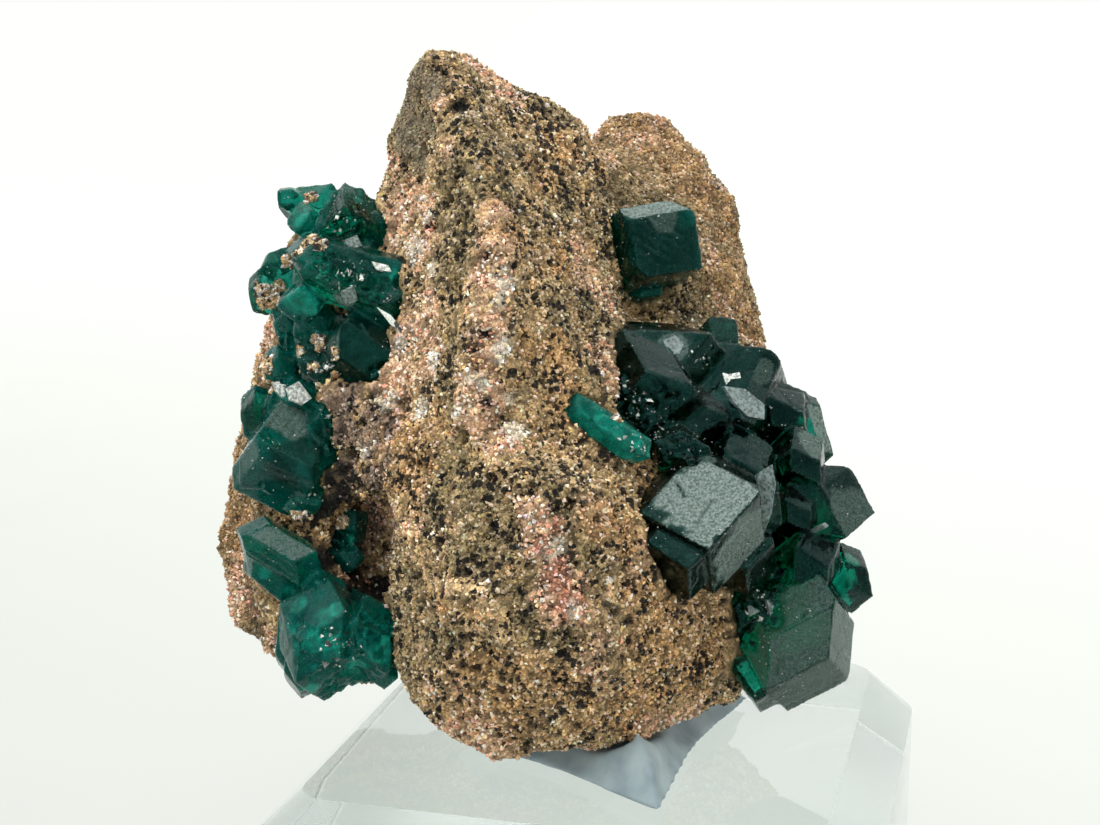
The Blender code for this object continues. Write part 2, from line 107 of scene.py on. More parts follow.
def pebbles(points, size, seed):
    # one random point in each cube of that size: the nearest and next distance as shares of size,
    # the nearest one's own number, and the way from it, in mm
    spot = points / size
    low = np.floor(spot)
    near, following = np.full(len(points), 9.0), np.full(len(points), 9.0)
    number, offset = np.zeros(len(points)), np.zeros_like(points)
    for step in np.ndindex(3, 3, 3):
        cell = low + np.array(step) - 1.0
        centre = cell + np.stack([cellNumber(cell, seed + 11 * axis) for axis in range(3)], axis=1)
        distance = apart(spot, centre)
        closer = distance < near
        following = np.where(closer, near, np.minimum(following, distance))
        near = np.where(closer, distance, near)
        number = np.where(closer, cellNumber(cell, seed + 77), number)
        offset = np.where(closer[:, None], (spot - centre) * size, offset)
    return near, following, number, offset


def patches(points, spots, rag, seed):
    # 1 inside any ball (x, y, z, radius), 0 outside, its rim moved in and out by noise of 1.1 mm
    ragged = rag * (clouds(points, 1.1, seed) - 0.5)
    found = np.zeros(len(points))
    for *place, radius in spots:
        found = np.maximum(found, smooth(1.25, 0.65, apart(points, place) / radius + ragged))
    return found


def facePatches(points, normals, spots, rag, seed):
    # as patches, but each ball (x, y, z, radius, strength) fills only the flat face that it touches
    ragged = rag * (clouds(points, 1.1, seed) - 0.5)
    found = np.zeros(len(points))
    for *place, radius, strength in spots:
        far = apart(points, place)
        way = normals[far < far.min() + 0.3].sum(axis=0)
        way /= max(np.linalg.norm(way), 1e-9)
        share = smooth(1.2, 0.95, far / radius + ragged) * smooth(0.93, 0.985, normals @ way)
        share = strength * share * smooth(0.35, 0.2, np.abs((points - place) @ way))
        found = np.maximum(found, share)
    return found


def sawTeeth(points, spots, period, seed):
    # (u - floor(u)) times the tooth's own number, in balls (x, y, z, radius, way), where u is the
    # distance along the way over the period, bent by noise
    bent = 0.5 * cloud(points, 2.0, seed)
    depth = np.zeros(len(points))
    for x, y, z, radius, *way in spots:
        along = points @ (np.array(way) / np.linalg.norm(way)) / period + bent
        tooth = np.floor(along)
        height = 0.25 + 0.75 * cellNumber(np.column_stack([tooth, tooth, tooth]), seed)
        share = smooth(1.2, 0.8, apart(points, (x, y, z)) / radius)
        depth = np.maximum(depth, share * height * (along - tooth))
    return depth


def toLine(points, line):
    # the distance to the nearest stretch of the line
    nearest = np.full(len(points), 1e9)
    for start, end in zip(np.array(line[:-1]), np.array(line[1:])):
        along = end - start
        share = np.clip(((points - start) @ along) / (along @ along), 0.0, 1.0)
        away = points - start - share[:, None] * along
        nearest = np.minimum(nearest, np.linalg.norm(away, axis=1))
    return nearest


def alongLine(points, line, width):
    # exp(-(d / width)^2), where d is the distance to the line
    return np.exp(-((toLine(points, line) / width) ** 2))


def nearness(points, others, cell):
    # how much of the others lies round each point: they mark cubes of that size, the marks are
    # spread twice over the neighbours on every axis, and each point reads its cube
    low = others.min(axis=0) - 6 * cell
    count = np.ceil((others.max(axis=0) + 6 * cell - low) / cell).astype(int) + 1
    marks = np.zeros(count, np.float32)
    marks[tuple(((others - low) / cell).astype(int).T)] = 1.0
    for axis in (0, 1, 2, 0, 1, 2):
        marks = (np.roll(marks, 1, axis) + marks + np.roll(marks, -1, axis)) / 3.0
    place = ((points - low) / cell).astype(int)
    inside = ((place >= 0) & (place < count)).all(axis=1)
    place = np.clip(place, 0, count - 1)
    return np.where(inside, marks[tuple(place.T)], 0.0)


def netEdges(faces):
    # every side of every four-sided face, once
    sides = np.concatenate([faces[:, [corner, (corner + 1) % 4]] for corner in range(4)])
    return np.unique(np.sort(sides, axis=1), axis=0)


def neighbourMean(values, edges):
    # the mean of each point's neighbours along the net's edges
    count = len(values)
    total = np.zeros(values.shape)
    here, there = np.concatenate([edges, edges[:, ::-1]]).T
    for axis in range(values.shape[1]):
        total[:, axis] = np.bincount(here, weights=values[there, axis], minlength=count)
    return total / np.bincount(here, minlength=count)[:, None]


def relaxed(points, edges, pull):
    # p + pull * (the mean of its neighbours - p)
    return points + pull * (neighbourMean(points, edges) - points)


def faceWays(points, faces):
    # the cross product of each four-sided face's diagonals: its normal, twice as long as its area
    first, second, third, fourth = (points[faces[:, corner]] for corner in range(4))
    return np.cross(third - first, fourth - second)


def netNormals(points, faces):
    # for each point, the sum of the face normals round it, each as long as twice its face's area
    ways = faceWays(points, faces)
    total = np.zeros_like(points)
    for corner in range(4):
        for axis in range(3):
            here, weights = faces[:, corner], ways[:, axis]
            total[:, axis] += np.bincount(here, weights=weights, minlength=len(points))
    return unit(total)


# Meshes


def newObject(name, data):
    made = bpy.data.objects.new(name, data)
    bpy.context.scene.collection.objects.link(made)
    return made


def mergedSolid(node):
    # a copy of the node's solid with its loose triangles sewn together
    sewn = bmesh.new()
    sewn.from_mesh(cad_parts[node].data)
    bmesh.ops.remove_doubles(sewn, verts=sewn.verts, dist=1e-6)
    mesh = bpy.data.meshes.new(node + "_sewn")
    sewn.to_mesh(mesh)
    sewn.free()
    return newObject(node + "_sewn", mesh)


def evenNet(node, spacing, hug):
    # the node's solid as an even net of four-sided faces, in mm; hug lays it back on the flat faces
    solid = mergedSolid(node)
    shell = newObject(node + "_net", solid.data.copy())
    even = shell.modifiers.new("even", "REMESH")
    even.mode = "VOXEL"
    even.voxel_size = spacing * mm
    if hug:
        lay = shell.modifiers.new("lay", "SHRINKWRAP")
        lay.target = solid
        lay.wrap_method = "NEAREST_SURFACEPOINT"
    bpy.context.view_layer.update()
    made = shell.evaluated_get(bpy.context.evaluated_depsgraph_get()).to_mesh()
    points = np.empty(len(made.vertices) * 3)
    made.vertices.foreach_get("co", points)
    faces = np.empty(len(made.loops), np.int32)
    made.loops.foreach_get("vertex_index", faces)
    bpy.data.objects.remove(shell)
    bpy.data.objects.remove(solid)
    return points.reshape(-1, 3) / mm, faces.reshape(-1, 4)


def makePiece(name, points, faces, look, smoothFaces=True, numbers=None, tint=None):
    # a piece of the object from arrays in mm, with its own numbers and a colour at its points
    mesh = bpy.data.meshes.new(name)
    mesh.from_pydata(points * mm, [], faces)
    mesh.polygons.foreach_set("use_smooth", np.full(len(mesh.polygons), smoothFaces))
    for label, values in (numbers or {}).items():
        made = mesh.attributes.new(label, "FLOAT", "POINT")
        made.data.foreach_set("value", values.astype(np.float32))
    if tint is not None:
        made = mesh.attributes.new("tint", "FLOAT_COLOR", "POINT")
        whole = np.column_stack([tint, np.ones(len(tint))])
        made.data.foreach_set("color", whole.astype(np.float32).ravel())
    mesh.materials.append(look)
    mesh.update()
    piece = newObject(name, mesh)
    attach(piece, "root")
    return piece


# Materials


class Wire:
    # a node's output; + - * on it add Math nodes, and node() adds any other node
    def __init__(self, tree, socket=None):
        self.tree, self.socket = tree, socket

    def node(self, kind, settings=None, values=None, out=0):
        made = self.tree.nodes.new("ShaderNode" + kind)
        for key, value in (settings or {}).items():
            setattr(made, key, value)
        for key, value in (values or {}).items():
            if isinstance(value, Wire):
                self.tree.links.new(value.socket, made.inputs[key])
            else:
                made.inputs[key].default_value = value
        return Wire(self.tree, made.outputs[out] if made.outputs else None)

    def maths(self, operation, first, second):
        return self.node("Math", {"operation": operation}, {0: first, 1: second})

    def __add__(self, other): return self.maths("ADD", self, other)
    def __radd__(self, other): return self.maths("ADD", other, self)
    def __sub__(self, other): return self.maths("SUBTRACT", self, other)
    def __rsub__(self, other): return self.maths("SUBTRACT", other, self)
    def __mul__(self, other): return self.maths("MULTIPLY", self, other)
    def __rmul__(self, other): return self.maths("MULTIPLY", other, self)

    def between(self, low, high, first=0.0, second=1.0):
        # smoothly from first to second as this value goes from low to high
        values = {0: self, 1: low, 2: high, 3: first, 4: second}
        return self.node("MapRange", {"interpolation_type": "SMOOTHSTEP"}, values)

    def mixed(self, first, second):
        # first colour where this value is 0, second where it is 1
        values = {0: self, 6: rgba(first), 7: rgba(second)}
        return self.node("Mix", {"data_type": "RGBA"}, values, 2)

    def shaded(self, shade):
        # this colour multiplied by a number
        grey = self.node("CombineColor", values={0: shade, 1: shade, 2: shade})
        settings = {"data_type": "RGBA", "blend_type": "MULTIPLY"}
        return self.node("Mix", settings, {0: 1.0, 6: self, 7: grey}, 2)

    def read(self, label, out="Fac"):
        # the piece's own number or colour of that name
        return self.node("Attribute", {"attribute_name": label}, out=out)

    def noise(self, scale, detail, rough=0.5, out=0):
        # noise at this place, scale in cells to the metre
        values = {"Vector": self, "Scale": scale, "Detail": detail, "Roughness": rough}
        return self.node("TexNoise", values=values, out=out)

    def pebbled(self, scale):
        # the distance from this place to the nearest of scattered points, that many to the metre
        return self.node("TexVoronoi", values={"Vector": self, "Scale": scale}, out="Distance")

    def along(self, axis):
        return self.node("SeparateXYZ", values={0: self}, out=axis)

    def bump(self, strength, depth):
        # this height as bumps, as deep as depth in mm
        values = {"Strength": strength, "Distance": depth * mm, "Height": self}
        return self.node("Bump", values=values)

    def shader(self, values):
        return self.node("BsdfPrincipled", values=values)

    def filled(self, colour, density):
        # the light that the inside takes away
        return self.node("VolumeAbsorption", values={"Color": rgba(colour), "Density": density})


def rgba(colour):
    return (*[float(part) for part in colour], 1.0)


def emptied(holder):
    # a new material's or world's own nodes, cleared away
    holder.use_nodes = True
    holder.node_tree.nodes.clear()
    return Wire(holder.node_tree)


def newLook(name):
    # a material, and the place on the piece that its nodes start from
    look = bpy.data.materials.new(name)
    return look, emptied(look).node("TexCoord", out="Object")


def onSurface(shader, volume=None):
    ends = {"Surface": shader, "Volume": volume} if volume else {"Surface": shader}
    shader.node("OutputMaterial", values=ends)


# The rock

rock = {
    "spacing": 0.39, "sink": 0.02, "seatRise": 0.42, "seatCell": 0.5,
    "lump": 4.2, "lumpHeight": 0.3, "crumb": 1.5, "crumbHeight": 0.26,
    "pebble": 0.6, "pebbleHeight": 0.2, "gapShade": 0.6,
    "hole": 1.0, "holeShare": 0.85, "holeSize": 0.28, "holeDepth": 0.5, "holeDarkAndShade": 0.95,
    "ridgeHeight": 1.1, "ridgeWidth": 2.8,
    "ledgeHeight": 0.85, "ledgeWidth": 0.8, "ledgeLight": 1.0,
    "spurHeight": 0.5, "spurWidth": 0.5, "farDark": 0.24,
    "cast": np.array((0.97, 0.93, 0.82)),
    "tan": linear(180, 155, 118), "olive": linear(136, 122, 90), "rust": linear(186, 150, 106),
    "rose": linear(214, 178, 150), "sugar": linear(236, 228, 216), "slate": linear(138, 127, 108),
    # the darkest colour is painted shade; the grey-pink is rock with painted shade over it; the cream is a
    # pale crust, and a painted highlight along the spur
    "soot": linear(30, 27, 23), "cream": linear(206, 178, 138), "ash": linear(140, 120, 106),
    "red": linear(176, 112, 92),
    # each colour's balls: how ragged their rims are, the noise's seed, and their strength
    "balls": {
        "rust": (1.3, 21, 1.0), "olive": (1.3, 22, 1.0), "rose": (1.5, 23, 1.0), "slate": (0.5, 24, 1.0),
        "sugar": (2.6, 25, 0.8), "soot": (1.2, 26, 1.0), "ash": (1.2, 27, 1.0), "red": (1.6, 28, 0.75),
    },
    # the colours in the order that they cover each other, and how much each covers
    "layers": {
        "olive": 0.85, "rust": 0.85, "rose": 0.85, "red": 1.0, "slate": 1.0, "ash": 1.0, "sugar": 1.0,
        "cream": 1.0, "soot": 1.0,
    },
    # painted shade: black patches in the recess between the left crystals and the rock, and in small
    # hollows; they are dug in a little too
    "sootSpots": [
        (-22.2, -3.3, 43.9, 1.0), (-21.6, -3.6, 43.0, 1.0), (-22.7, -3.2, 42.0, 1.0),
        (-23.3, -2.9, 40.7, 1.2), (-22.0, -2.8, 33.3, 1.4), (-20.5, 0.1, 32.4, 1.8),
        (-19.4, 0.5, 32.2, 1.3), (-22.4, 0.5, 33.6, 1.5), (-24.1, -2.8, 36.0, 1.3),
        (-21.6, -3.7, 45.3, 0.7), (-16.9, -5.6, 50.0, 0.7), (-15.9, -8.6, 48.4, 0.6),
        (-16.4, -10.1, 46.3, 0.6), (-16.7, -10.4, 44.9, 0.6), (-11.9, -14.4, 47.2, 0.6),
        (-11.7, -13.2, 49.0, 0.6), (-9.7, -16.4, 46.7, 0.5), (-6.7, -17.9, 46.1, 0.6),
        (-4.7, -18.6, 44.9, 0.5), (-3.5, -17.8, 45.1, 0.4), (-2.6, -14.0, 46.7, 0.7),
        (-10.0, -12.3, 57.0, 0.6), (-10.8, -12.6, 55.8, 0.6), (-10.1, -13.5, 51.9, 0.5),
        (-13.5, -4.4, 66.6, 0.6), (-16.3, -0.1, 66.2, 0.5), (-10.0, -9.9, 62.6, 0.4),
        (-5.0, -5.1, 61.6, 0.4), (-12.7, -4.4, 68.2, 0.4), (-12.5, -0.5, 73.5, 0.7),
        (-14.8, 1.9, 76.9, 0.3), (-5.6, 6.0, 70.9, 0.3), (-9.1, 3.3, 73.3, 0.4),
        (-3.3, -18.2, 40.3, 0.5), (-5.5, -18.9, 39.0, 0.5), (0.7, -15.6, 37.9, 0.5),
        (-0.4, -15.9, 39.2, 0.5), (2.7, -14.7, 36.4, 0.5), (-13.4, -17.8, 38.2, 0.5),
        (-11.2, -19.2, 37.1, 0.5), (-15.4, -13.4, 38.0, 0.4), (-21.7, -3.5, 40.9, 1.1),
        (-22.9, -3.2, 41.3, 0.8), (-23.5, -2.8, 43.1, 0.7), (-21.8, -3.3, 45.2, 0.6),
        (-22.4, -0.1, 33.3, 1.2), (-18.3, -7.7, 43.0, 0.6), (-24.3, -2.2, 40.3, 1.0),
        (-22.7, -3.2, 42.2, 0.8), (-20.5, -4.6, 40.4, 0.8),
    ],
    # grey-pink crumbly rock with painted shade over it, in the recess beside the left crystals
    "ashSpots": [
        (-22.2, -2.5, 49.7, 1.7), (-19.5, -4.4, 49.3, 1.6), (-20.4, -4.4, 46.8, 1.7),
        (-18.2, -5.4, 47.8, 1.2), (-21.8, -3.7, 44.0, 1.5), (-19.6, -4.9, 43.5, 1.6),
        (-20.0, 2.8, 37.9, 1.6), (-21.4, 3.5, 35.4, 1.6), (-19.9, 0.7, 32.6, 1.4),
        (-22.2, -3.0, 47.3, 1.4), (-18.5, -7.5, 46.2, 1.2), (-17.6, -9.0, 41.0, 1.2),
    ],
    "sugarSpots": [
        (-16.2, -1.9, 62.5, 1.1), (-14.6, -5.4, 61.0, 0.6), (-9.4, -10.4, 60.9, 1.2),
        (-9.2, -11.1, 59.5, 0.8), (-8.8, -12.3, 55.6, 1.0), (-15.4, -7.9, 50.2, 1.1),
        (-8.2, -13.5, 49.7, 0.9), (-8.5, -12.7, 51.9, 0.9), (-4.8, -18.6, 41.6, 0.8),
        (-3.3, -18.6, 36.7, 0.7), (-4.7, -1.4, 64.9, 0.5), (-2.1, -14.6, 46.2, 0.4),
        (-12.4, 1.3, 74.7, 0.4), (-12.0, -1.2, 72.6, 0.5), (-12.1, -13.0, 51.0, 0.6),
        (-14.7, -8.0, 54.1, 0.9), (-14.5, -9.0, 52.7, 0.7), (-18.7, -4.5, 50.1, 0.9),
        (-17.5, -3.0, 54.9, 0.9), (-15.3, -1.8, 65.0, 0.7), (-10.5, -13.2, 53.6, 0.7),
        (-20.6, -4.4, 45.6, 0.6), (-0.5, -16.1, 38.5, 0.4),
    ],
    "roseSpots": [
        (-9.5, -11.0, 59.5, 1.3), (-10.0, -12.0, 57.5, 1.6), (-10.0, -12.5, 56.0, 1.2),
        (-10.5, -13.5, 53.0, 1.7), (-10.5, -13.5, 51.0, 1.8), (-9.0, -14.5, 49.0, 1.3),
        (-15.0, -6.0, 58.0, 1.8), (-17.5, 2.5, 63.5, 2.4), (-15.5, -1.0, 66.0, 1.5),
        (-13.5, -2.5, 70.5, 1.1), (-14.0, 0.0, 74.0, 0.8), (-11.5, 6.5, 76.5, 2.0),
        (-9.5, 6.5, 74.5, 1.8), (-5.5, -19.0, 42.0, 1.9), (-4.5, -18.5, 39.5, 1.6),
        (-4.0, -19.0, 38.0, 2.2), (-2.5, -18.0, 36.5, 1.2), (-6.5, -18.5, 44.5, 1.3),
        (-17.5, -4.0, 51.5, 2.2), (-15.5, -2.5, 62.0, 2.2), (-16.5, -4.0, 56.0, 1.7),
        (-19.0, -0.5, 43.0, 1.6), (-21.5, 3.0, 37.5, 2.0), (-14.5, -14.0, 29.0, 1.0),
        (-31.5, 5.0, 38.0, 3.0), (-34.0, 7.5, 29.0, 3.0), (-31.5, 16.5, 52.0, 2.0),
        (-29.0, 4.0, 26.0, 2.5), (-32.5, 5.0, 33.5, 3.0), (-31.0, 4.0, 44.0, 2.5),
        (-9.6, -8.0, 65.5, 1.3), (-9.3, -9.5, 62.8, 1.6), (-9.8, -10.8, 60.5, 1.6),
        (-10.3, -11.6, 58.3, 1.5),
    ],
    "rustSpots": [
        (-10.0, -5.0, 68.5, 0.9), (-9.5, -7.5, 66.0, 1.1), (-9.5, -9.0, 64.0, 1.3),
        (-8.5, -8.5, 64.0, 1.6), (-7.0, -11.5, 56.0, 1.2), (-4.5, -10.0, 55.5, 2.0),
        (3.5, -14.0, 33.0, 3.6), (7.0, -10.0, 29.5, 3.4), (2.0, -13.0, 27.5, 3.4),
        (6.0, -11.5, 35.5, 2.6), (-1.5, -16.5, 43.5, 2.0), (0.5, -15.0, 41.5, 1.8),
        (-4.5, 6.0, 69.5, 2.4), (-1.0, 10.5, 67.5, 2.2), (-6.0, 1.0, 67.5, 2.0),
        (-4.5, -4.0, 61.5, 1.6), (-11.0, -19.5, 37.0, 1.2), (-13.5, -17.5, 37.0, 1.2),
        (-1.0, -9.5, 49.5, 1.9), (-3.5, -10.5, 51.0, 2.2), (2.0, -15.0, 37.5, 1.8),
        (-3.0, -17.0, 30.0, 1.4), (-6.5, -8.5, 60.5, 0.9), (3.5, 22.0, 69.5, 4.0),
        (7.0, 19.5, 66.5, 3.6), (10.0, 19.5, 62.0, 3.6), (11.5, 14.5, 57.0, 3.0),
        (13.0, 15.5, 52.5, 3.4), (-35.0, 10.0, 36.0, 2.4),
    ],
    "oliveSpots": [
        (-11.0, -18.0, 40.5, 2.2), (-13.5, -16.0, 33.5, 2.6), (-9.0, -19.5, 38.0, 2.2),
        (-7.5, -19.5, 36.5, 2.2), (-13.0, -13.0, 47.5, 2.2), (-14.5, -13.5, 44.0, 2.6),
        (-11.0, -16.5, 45.0, 2.2), (-4.5, 1.5, 66.0, 2.0), (-2.0, 2.0, 61.5, 2.6),
        (-4.5, -8.0, 57.5, 2.2), (-2.5, -3.0, 59.0, 2.4), (-9.0, -18.0, 32.5, 2.0),
        (-4.5, -19.5, 35.0, 1.6), (-12.0, -8.0, 63.0, 1.6), (-12.5, -8.5, 60.5, 1.3),
        (-12.5, -10.5, 56.0, 1.6), (-13.0, -11.5, 51.5, 1.8), (-15.5, -10.0, 48.0, 1.8),
        (-10.5, -16.0, 28.5, 2.2), (-7.5, -16.5, 27.0, 2.6), (-12.0, -16.5, 30.5, 1.8),
    ],
    "redSpots": [
        (-5.6, -19.0, 42.0, 1.1), (-4.4, -18.8, 39.6, 1.3), (-3.4, -18.5, 37.0, 1.5),
        (-4.6, -18.9, 43.2, 0.8), (-9.6, -10.6, 60.9, 0.8), (-10.2, -12.6, 54.6, 0.9),
        (-8.6, -13.8, 50.4, 0.8), (-14.8, -2.6, 64.0, 0.7),
    ],
    "slateSpots": [
        (-16.5, 3.5, 76.0, 2.0), (-17.0, 5.5, 73.5, 2.4), (-17.0, 4.0, 71.0, 2.2),
        (-16.0, 2.5, 69.0, 1.4), (-15.0, 1.0, 75.0, 1.5), (-15.0, 1.5, 72.5, 1.5),
    ],
    "ledge": [
        (-12.3, -18.7, 38.7), (-11.2, -19.2, 38.5), (-10.4, -19.5, 38.0), (-9.8, -19.7, 37.1),
        (-9.4, -19.8, 36.4), (-8.3, -19.7, 35.2),
    ],
    "ridge": [
        (-12.3, 0.6, 74.1), (-11.7, -2.2, 71.5), (-10.7, -4.9, 69.3), (-9.8, -6.9, 66.7),
        (-9.2, -8.8, 64.2), (-9.4, -10.2, 61.7), (-10.2, -11.2, 59.5), (-10.7, -12.5, 56.2),
        (-11.2, -13.1, 52.4),
    ],
    # a second, thin crest, raised and painted cream along its top as a highlight
    "spur": [
        (-11.6, -2.9, 70.7), (-9.8, -4.2, 69.2), (-8.0, -3.4, 67.8), (-6.4, -3.1, 65.5),
    ],
}


def rockShares(points):
    # how much of each rock colour is at each point: balls at the listed places, and drifting clouds
    shares = {
        label: strength * patches(points, rock[label + "Spots"], rag, seed)
        for label, (rag, seed, strength) in rock["balls"].items()
    }
    drift = clouds(points, 9.0, 5)
    veins = clouds(points, 6.0, 15)
    shares["rust"] = np.maximum(shares["rust"], 0.8 * smooth(0.56, 0.68, drift))
    shares["olive"] = np.maximum(shares["olive"], 0.8 * smooth(0.5, 0.36, drift))
    shares["rose"] = np.maximum(shares["rose"], 0.7 * smooth(0.6, 0.7, veins))
    # cream: the ledge's pale crust, and a painted highlight along the spur
    edge = alongLine(points, rock["ledge"], rock["ledgeLight"])
    shares["cream"] = 0.95 * np.maximum(edge, alongLine(points, rock["spur"], rock["spurWidth"]))
    return shares


def rockColour(points):
    # the tan rock, laid over by each share in turn, darker in its holes, as dark specks and painted shade,
    # and darker on the far parts
    shares = rockShares(points)
    colour = np.tile(rock["tan"], (len(points), 1))
    for label, cover in rock["layers"].items():
        share = cover * shares[label][:, None]
        colour = colour * (1.0 - share) + rock[label] * share
    far = np.maximum(smooth(9.0, 14.0, points[:, 1]), smooth(-27.0, -30.0, points[:, 0]))
    shares["calm"] = np.maximum.reduce(
        [0.55 * shares["rose"], 0.9 * shares["sugar"], 0.85 * shares["slate"], 0.6 * far]
    )
    shares["hole"] = rockHoles(points) * (1.0 - 0.8 * shares["calm"])
    # dark specks and painted shade in the holes, and darker far parts
    dark = (1.0 - rock["farDark"] * far) * (1.0 - rock["holeDarkAndShade"] * shares["hole"])
    colour = colour * rock["cast"] * dark[:, None]
    light = 0.95 + 0.55 * smooth(0.5, 0.34, clouds(points, 0.6, 43)) * (1.0 - shares["slate"])
    return colour * light[:, None], shares


def rockHoles(points):
    # 1 in small ragged holes, at most one in each cube of the hole size, 0 outside them
    near, following, number, offset = pebbles(points, rock["hole"], 51)
    ragged = 1.3 * (clouds(points, 0.5, 52) - 0.5)
    crowd = smooth(0.35, 0.62, clouds(points, 5.0, 53))
    size = rock["holeSize"] * (0.55 + 0.9 * np.sin(number * 57.0) ** 2) * (0.65 + 0.6 * crowd)
    share = smooth(1.12, 0.85, (near + ragged * rock["holeSize"]) / size)
    return share * (number < rock["holeShare"])


def rockNet(crystalPoints):
    # the solid's surface p moved along its normal by
    # -sink + lumps + crumbs + round pebbles - holes + ledge + spur + ridge, and out to the crystals
    # at their seats
    points, faces = evenNet("matrix_rock", rock["spacing"] * coarse, hug=False)
    normals = netNormals(points, faces)
    near, following, number, offset = pebbles(points, rock["pebble"], 3)
    colour, shares = rockColour(points)
    rise = -rock["sink"] + rock["lumpHeight"] * (clouds(points, rock["lump"], 1) * 2.0 - 1.0)
    rise += rock["crumbHeight"] * (clouds(points, rock["crumb"], 2) * 2.0 - 1.0)
    rise += rock["pebbleHeight"] * (1.0 - 1.6 * near**2) * (0.5 + number) * (1.0 - 0.7 * shares["slate"])
    # the holes and the patches of painted shade are dug in
    rise -= rock["holeDepth"] * np.maximum(1.6 * shares["soot"], shares["hole"])
    rise += rock["ledgeHeight"] * alongLine(points, rock["ledge"], rock["ledgeWidth"])
    rise += rock["spurHeight"] * alongLine(points, rock["spur"], rock["spurWidth"])
    ridge = np.maximum(0.0, 1.0 - toLine(points, rock["ridge"]) / rock["ridgeWidth"])
    rise += rock["ridgeHeight"] * (ridge - 0.12)
    seat = smooth(0.03, 0.2, nearness(points, crystalPoints, rock["seatCell"]))
    rise = rise * (1.0 - seat) + rock["seatRise"] * seat
    points = points + normals * rise[:, None]
    # painted shade in the gaps between the pebbles
    gap = smooth(0.3, 0.62, near)
    colour = colour * (1.0 - rock["gapShade"] * gap[:, None]) * (0.75 + 0.45 * number[:, None])
    return points, faces, colour, shares["calm"], seat


def pitSpecksAndShade(where):
    # 0 in fine black pits, 1 outside them: dark specks and painted shade in the pits, near the random
    #                                       points of a
    # 0.6 mm net, more in some places and fewer where the surface is calm
    bent = where.noise(2200.0, 2.0, out="Color")
    moved = {0: bent, 1: (0.6 * mm,) * 3, 2: where}
    pit = where.node("VectorMath", {"operation": "MULTIPLY_ADD"}, moved).pebbled(1550.0)
    crowd = where.noise(330.0, 2.0).between(0.38, 0.62, 0.1, 0.5)
    return (pit - crowd * (1.0 - where.read("calm"))).between(-0.03, 0.04)


def rockLook():
    look, where = newLook("gritty sandstone")
    speck = where.noise(5200.0, 3.0, 0.65)
    stain = where.noise(700.0, 4.0, 0.6)
    grain = where.pebbled(3600.0)
    shade = speck.between(0.3, 0.72, 0.42, 1.5) * stain.between(0.3, 0.7, 0.8, 1.18)
    # the black pits: dark specks and painted shade
    shade = shade * (pitSpecksAndShade(where) * 0.96 + 0.04)
    onSurface(where.shader({
        "Base Color": where.read("tint", "Color").shaded(shade),
        "Roughness": speck.between(0.35, 0.75, 0.95, 0.62), "IOR": 1.5,
        "Normal": (speck * 0.6 + (1.0 - grain) * 0.6).bump(0.55, 0.1),
    }))
    return look


# Sand grains on the rock

grains = {
    "pieces": 4, "inPiece": 24000, "small": 0.1, "large": 0.22, "sunk": 0.3, "onSeat": 0.15, "inHole": 0.15,
    "dark": 0.1, "pale": 0.004, "paleInSugar": 60.0, "paleInRose": 20.0, "pink": linear(214, 158, 130),
    "tints": np.array([
        (1.0, 1.0, 1.0), (1.0, 1.0, 1.0), (1.07, 0.98, 0.86), (1.0, 1.02, 0.9), (0.98, 1.0, 1.08),
    ]),
}
octahedron = np.array([(1, 0, 0), (-1, 0, 0), (0, 1, 0), (0, -1, 0), (0, 0, 1), (0, 0, -1)], float)
octahedronFaces = np.array(
    [(0, 2, 4), (2, 1, 4), (1, 3, 4), (3, 0, 4), (2, 0, 5), (1, 2, 5), (3, 1, 5), (0, 3, 5)]
)


def scattered(points, faces, weight, count, luck):
    # random places on the net: a face by its area times weight, then a share of each of its corners
    ways = faceWays(points, faces)
    area = np.linalg.norm(ways, axis=1) * weight[faces].mean(axis=1)
    chosen = luck.choice(len(faces), count, p=area / area.sum())
    across, up = luck.random((2, count, 1))
    first, second, third, fourth = (points[faces[chosen, corner]] for corner in range(4))
    low = first * (1 - across) + second * across
    high = fourth * (1 - across) + third * across
    return low * (1 - up) + high * up, unit(ways[chosen])


def turnedShapes(corners, luck):
    # each shape's corners turned at random: R = I + 2w[q]x + 2[q]x^2 for random unit (w, q)
    quarter = unit(luck.normal(size=(len(corners), 4)))
    w, q = quarter[:, :1, None], quarter[:, None, 1:]
    across = np.cross(q, corners)
    return corners + 2.0 * w * across + 2.0 * np.cross(q, across)


def grainShapes(places, sizes, luck):
    # octahedrons with corners jogged by up to 0.3, times their own sizes, turned, and moved
    count = len(places)
    shapes = octahedron + luck.uniform(-0.3, 0.3, (count, len(octahedron), 3))
    shapes = turnedShapes(shapes * sizes[:, None, :], luck) + places[:, None, :]
    starts = len(octahedron) * np.arange(count)[:, None, None]
    return shapes.reshape(-1, 3), (octahedronFaces + starts).reshape(-1, 3)


def makeGrains(name, shapes, cells, look, tint, numbers=None):
    # a piece of many flat-faced grains, each with one colour and its own numbers
    corners = len(octahedron)
    makePiece(
        name, shapes, cells, look, smoothFaces=False, tint=np.repeat(tint, corners, axis=0),
        numbers={label: np.repeat(values, corners) for label, values in (numbers or {}).items()},
    )


